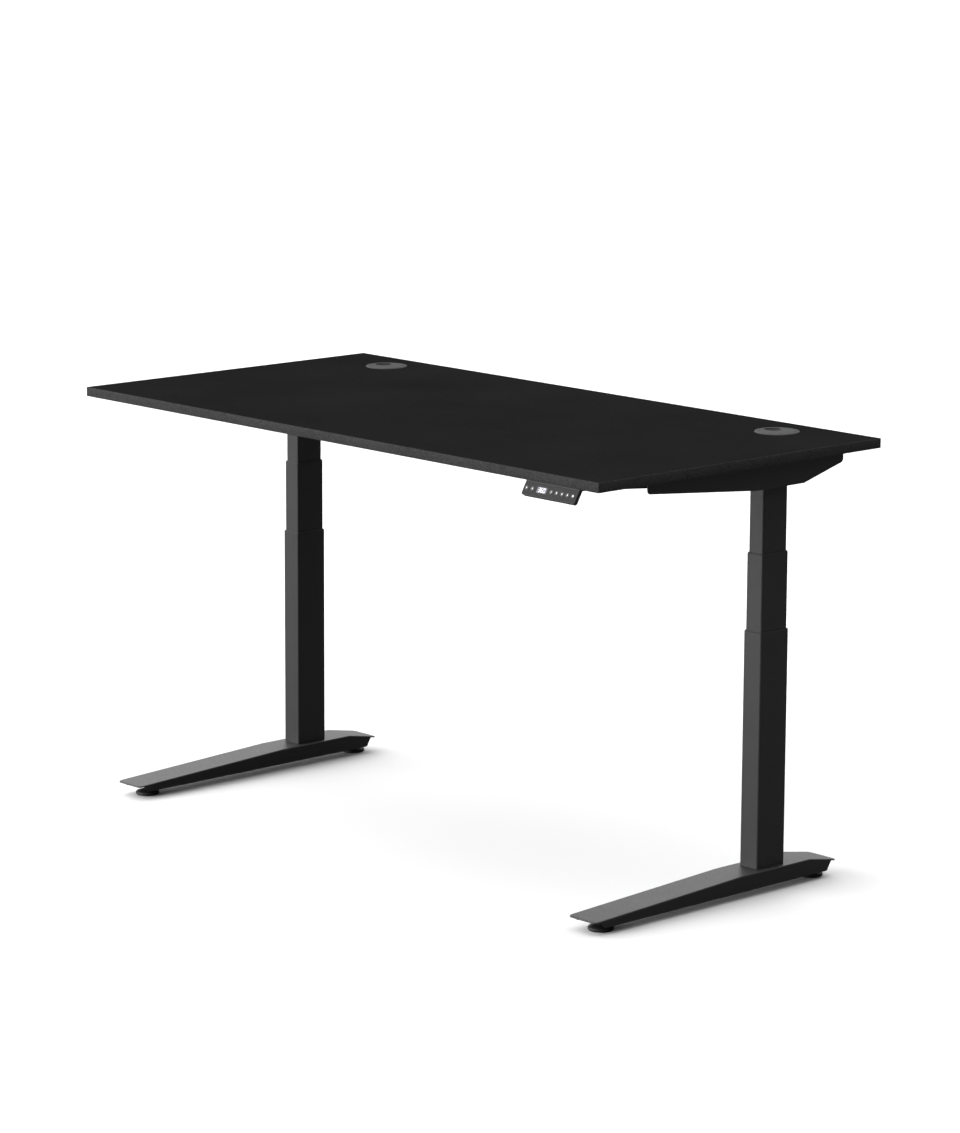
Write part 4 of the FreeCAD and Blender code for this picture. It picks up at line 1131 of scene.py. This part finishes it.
@dataclass
class Handset:
    """The handset under the front edge: case, fascia, display and keys."""

    shop: Workshop
    tilt: float = math.radians(30)
    face_height: float = 30 * MM
    key_radius: float = 4.6 * MM
    key_proud: float = 0.5 * MM
    key_length: float = 4.2 * MM
    skirt: float = 1.0 * MM
    skirt_back: float = 2.3 * MM
    arrow: float = 1.7 * MM
    letter_height: float = 3.7 * MM
    letter_weight: float = 0.26 * MM
    ink: float = 0.05 * MM
    ink_root: float = 0.2 * MM
    digit_width: float = 4.6 * MM
    digit_height: float = 8.2 * MM
    digit_pitch: float = 6.6 * MM
    stroke: float = 1.15 * MM
    segment_gap: float = 0.12 * MM
    reading: str = "36.0"
    segments: tuple[str, ...] = ("abcdef", "bc", "abdeg", "abcdg", "bcfg", "acdfg", "acdefg", "abc",
                                 "abcdefg", "abcdfg")

    def __post_init__(self) -> None:
        """Work out where the tilted face is."""
        corner = Vector((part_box("handset_housing")[0].x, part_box("edge_band")[0].y,
                         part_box("desktop_board")[0].z))
        self.slope = Matrix.Translation(corner) @ Matrix.Rotation(-self.tilt, 4, "X")
        self.left = corner.x

    def on_face(self, x: float, proud: float = 0.0) -> Matrix:
        """Placing at an X of the face's middle line: +X to the right, +Y up the face and +Z outwards."""
        spot = Matrix.Translation((x - self.left, -proud, -self.face_height / 2))
        return self.slope @ spot @ Matrix.Rotation(math.pi / 2, 4, "X")

    def build(self) -> None:
        """Build and dress every piece of the handset."""
        self.shop.refine("handset_housing", "handset_case", BOX, 0.5 * MM)
        self.shop.refine("handset_face", "handset_fascia", FASCIA, 0.2 * MM)
        self.shop.refine("handset_display", "handset_window", WINDOW, 0.2 * MM)
        self.shop.dress("handset_board", CIRCUIT)
        self.digits()
        for glyph in Glyph:
            self.key(glyph)
            self.symbol(glyph)

    def key(self, glyph: Glyph) -> None:
        """A round key with a dished top and a skirt behind the fascia.

        Args:
            glyph: Which key.
        """
        node = glyph.value
        middle = centre_of(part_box(node))
        r = self.key_radius
        top = self.key_proud
        wide = r + self.skirt
        front, behind = -self.skirt_back, -self.skirt_back - self.skirt
        profile = [(r, top - self.key_length), (r, behind), (wide, behind), (wide, front), (r, front),
                   (r, top - 0.35 * MM), (r - 0.12 * MM, top - 0.1 * MM), (r - 0.4 * MM, top),
                   (0.6 * r, top - 0.12 * MM), (0.3 * r, top - 0.18 * MM)]
        blank = Blank()
        blank.turn(profile, self.on_face(middle.x), count=48)
        self.shop.fit(node + "_cap", blank, KEY, node)

    def symbol(self, glyph: Glyph) -> None:
        """The raised ink on a key.

        Args:
            glyph: Which key.
        """
        node = glyph.value
        middle = centre_of(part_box(node))
        placing = self.on_face(middle.x, self.key_proud - self.ink_root)
        blank = Blank()
        if glyph in (Glyph.DOWN, Glyph.UP):
            sign = 1 if glyph is Glyph.UP else -1
            turns = [math.pi / 2 * sign + 2 * math.pi / 3 * i for i in range(3)]
            outline = [(self.arrow * math.cos(t), self.arrow * math.sin(t)) for t in turns]
            blank.plate(outline, 0, self.ink_root + self.ink, placing)
        else:
            letter = "M" if glyph is Glyph.MEMORY else node.split("_")[1]
            self.letter(blank, letter, placing)
        self.shop.fit(node.replace("_key", "_symbol"), blank, SYMBOL, node, added=True)

    def letter(self, blank: Blank, text: str, placing: Matrix) -> None:
        """Add a character as a thin solid.

        Args:
            blank: The mesh in the making.
            text: The character.
            placing: Its place, at the character's middle.
        """
        curve = bpy.data.curves.new("character", "FONT")
        curve.body = text
        curve.size = self.letter_height
        curve.extrude = (self.ink_root + self.ink) / 2
        curve.offset = self.letter_weight
        curve.align_x = "CENTER"
        curve.align_y = "CENTER"
        holder = placed("character", curve)
        bpy.context.view_layer.update()
        mesh = bpy.data.meshes.new_from_object(holder)
        mesh.transform(placing @ Matrix.Translation((0, 0, curve.extrude)))
        blank.mesh.from_mesh(mesh)
        bmesh.ops.remove_doubles(blank.mesh, verts=blank.mesh.verts, dist=WELD)
        bpy.data.objects.remove(holder)
        bpy.data.meshes.remove(mesh)
        bpy.data.curves.remove(curve)

    def segment(self, blank: Blank, start: Vector, end: Vector, placing: Matrix) -> None:
        """One pointed bar of a digit.

        Args:
            blank: The mesh in the making.
            start: Its first end.
            end: Its last end.
            placing: The digit's place.
        """
        along = (end - start).normalized()
        across = Vector((-along.y, along.x)) * self.stroke / 2
        first = start + along * self.segment_gap
        last = end - along * self.segment_gap
        tip = self.stroke / 2
        outline = [first, first + along * tip - across, last - along * tip - across, last,
                   last - along * tip + across, first + along * tip + across]
        blank.plate(outline, -self.ink_root, self.ink, placing)

    def digits(self) -> None:
        """The height shown on the display, in seven-segment digits with a point."""
        window = centre_of(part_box("handset_display"))
        w, h = self.digit_width / 2, self.digit_height / 2
        bars = {"a": ((-w, h), (w, h)), "b": ((w, 0), (w, h)), "c": ((w, -h), (w, 0)),
                "d": ((-w, -h), (w, -h)), "e": ((-w, -h), (-w, 0)), "f": ((-w, 0), (-w, h)),
                "g": ((-w, 0), (w, 0))}
        blank = Blank()
        numbers = self.reading.replace(".", "")
        first = -(len(numbers) - 1) / 2 * self.digit_pitch
        for i, number in enumerate(numbers):
            placing = self.on_face(window.x + first + i * self.digit_pitch)
            for bar in self.segments[int(number)]:
                start, end = bars[bar]
                self.segment(blank, Vector(start), Vector(end), placing)
        point = self.reading.index(".") - 0.5
        spot = window.x + first + point * self.digit_pitch
        low = Matrix.Translation((0, -h, 0))
        dot = 0.55 * MM
        blank.turn([(dot, -self.ink_root), (dot, self.ink)], self.on_face(spot) @ low, count=16)
        self.shop.fit("display_digits", blank, DIGIT, "handset_display", added=True)


# ---- studio


@dataclass(frozen=True)
class Glow:
    """A soft patch of light on the studio's dome."""

    toward: tuple[float, float, float]
    spread: float
    strength: float


@dataclass
class Studio:
    """Pale floor, soft dome light and the camera."""

    target: tuple[float, float, float] = (0.03488, 0.0075, 0.58783)
    yaw: float = math.radians(47.31)
    pitch: float = math.radians(11.17)
    roll: float = math.radians(0.29)
    distance: float = 8.6937
    lens: float = 130.63
    floor_half: float = 150.0
    ambient: float = 0.08
    floor_seen: float = 0.93
    floor_vary: float = 0.005
    floor_clouds: float = 2.5
    floor_bounce: float = 0.12
    glows: tuple[Glow, ...] = (Glow((-0.15, 0.05, 1.0), 0.15, 1.25), Glow((-0.85, -0.30, 0.40), 0.0, 0.8),
                               Glow((-0.50, -0.86, 0.0), 0.50, 3.7), Glow((-0.74, 0.64, 0.20), 0.55, 0.72))
    fill_toward: tuple[float, float, float] = (-0.55, -0.83, 0.0)
    fill_distance: float = 6.5
    fill_height: float = 0.45
    fill_size: tuple[float, float] = (3.0, 0.9)
    fill_power: float = 90.0

    def build(self) -> None:
        """Build the whole studio."""
        self.camera()
        self.floor()
        self.dome()
        self.fill()
        bpy.context.scene.view_settings.view_transform = "Standard"

    def camera(self) -> None:
        """Set up the camera on its stand."""
        level = math.cos(self.pitch)
        back = Vector((math.sin(self.yaw) * level, -math.cos(self.yaw) * level, math.sin(self.pitch)))
        right = Vector((math.cos(self.yaw), math.sin(self.yaw), 0))
        up = back.cross(right)
        across = math.cos(self.roll) * right + math.sin(self.roll) * up
        upward = math.cos(self.roll) * up - math.sin(self.roll) * right
        data = bpy.data.cameras.new("studio_camera")
        data.lens = self.lens
        data.sensor_width = 36.0
        data.clip_end = 1000.0
        holder = placed("studio_camera", data)
        turned = Matrix((across, upward, back)).transposed().to_4x4()
        holder.matrix_world = Matrix.Translation(Vector(self.target) + back * self.distance) @ turned
        bpy.context.scene.camera = holder

    def floor(self) -> None:
        """A wide pale floor, which throws back less light than it shows."""
        blank = Blank()
        half = self.floor_half
        corners = [(-half, -half), (half, -half), (half, half), (-half, half)]
        blank.mesh.faces.new([blank.mesh.verts.new((x, y, 0)) for x, y in corners])
        mesh = blank.finished("studio_floor")
        bench = NodeBench("studio_floor")
        path = bench.node("ShaderNodeLightPath")
        clouds = bench.grain(self.floor_clouds)
        seen = bench.spread(clouds, self.floor_seen - self.floor_vary, self.floor_seen + self.floor_vary)
        level = bench.node("ShaderNodeMix")
        bench.join(path.outputs["Is Camera Ray"], level.inputs["Factor"])
        level.inputs["A"].default_value = self.floor_bounce
        bench.join(seen, level.inputs["B"])
        bench.join(level.outputs["Result"], bench.shader.inputs["Base Color"])
        bench.fixed({"Specular IOR Level": 0.0, "Roughness": 1.0})
        mesh.materials.append(bench.material)
        floor = placed("studio_floor", mesh)

    def fill(self) -> None:
        """A low soft box in front, which reaches the columns under the desktop."""
        lamp = bpy.data.lights.new("studio_fill", "AREA")
        lamp.shape = "RECTANGLE"
        lamp.size, lamp.size_y = self.fill_size
        lamp.energy = self.fill_power
        toward = Vector(self.fill_toward).normalized()
        holder = placed("studio_fill", lamp)
        holder.matrix_world = aimed(toward * self.fill_distance + self.fill_height * UP, toward)
        holder.visible_camera = False

    def dome(self) -> None:
        """Soft light from the dome: an even base with a few wide glows, plain white to look at."""
        world = bpy.data.worlds.new("studio_dome")
        bpy.context.scene.world = world
        world.use_nodes = True
        tree = world.node_tree
        tree.nodes.clear()
        add, join = tree.nodes.new, tree.links.new
        toward = add("ShaderNodeTexCoord").outputs["Generated"]
        total = None
        for glow in self.glows:
            dot = add("ShaderNodeVectorMath")
            dot.operation = "DOT_PRODUCT"
            dot.inputs[1].default_value = Vector(glow.toward).normalized()
            join(toward, dot.inputs[0])
            ramp = add("ShaderNodeMapRange")
            ramp.interpolation_type = "SMOOTHSTEP"
            preset(ramp, {"From Min": glow.spread, "From Max": 1.0,
                          "To Min": 0.0, "To Max": glow.strength})
            join(dot.outputs["Value"], ramp.inputs["Value"])
            plus = add("ShaderNodeMath")
            plus.operation = "ADD"
            plus.inputs[0].default_value = self.ambient
            if total is not None:
                join(total, plus.inputs[0])
            join(ramp.outputs["Result"], plus.inputs[1])
            total = plus.outputs["Value"]
        light = add("ShaderNodeBackground")
        join(total, light.inputs["Strength"])
        white = add("ShaderNodeBackground")
        path = add("ShaderNodeLightPath")
        mix = add("ShaderNodeMixShader")
        output = add("ShaderNodeOutputWorld")
        for node in (light, white):
            node.inputs["Color"].default_value = (1.0, 1.0, 1.0, 1.0)
        join(path.outputs["Is Camera Ray"], mix.inputs["Fac"])
        join(light.outputs["Background"], mix.inputs[1])
        join(white.outputs["Background"], mix.inputs[2])
        join(mix.outputs["Shader"], output.inputs["Surface"])


def main() -> None:
    """Build the desk and its studio, and report each piece."""
    logging.basicConfig(level=logging.INFO, format="%(name)s: %(message)s")
    log = logging.getLogger("desk")
    Studio().build()
    shop = Workshop(log)
    for side in Side:
        Leg(shop, side).build()
    for assembly in (TopFrame(shop), Desktop(shop), ControlBox(shop), Handset(shop)):
        assembly.build()
    log.info("%d pieces and nodes finished", shop.count)


if __name__ == "__main__":
    main()
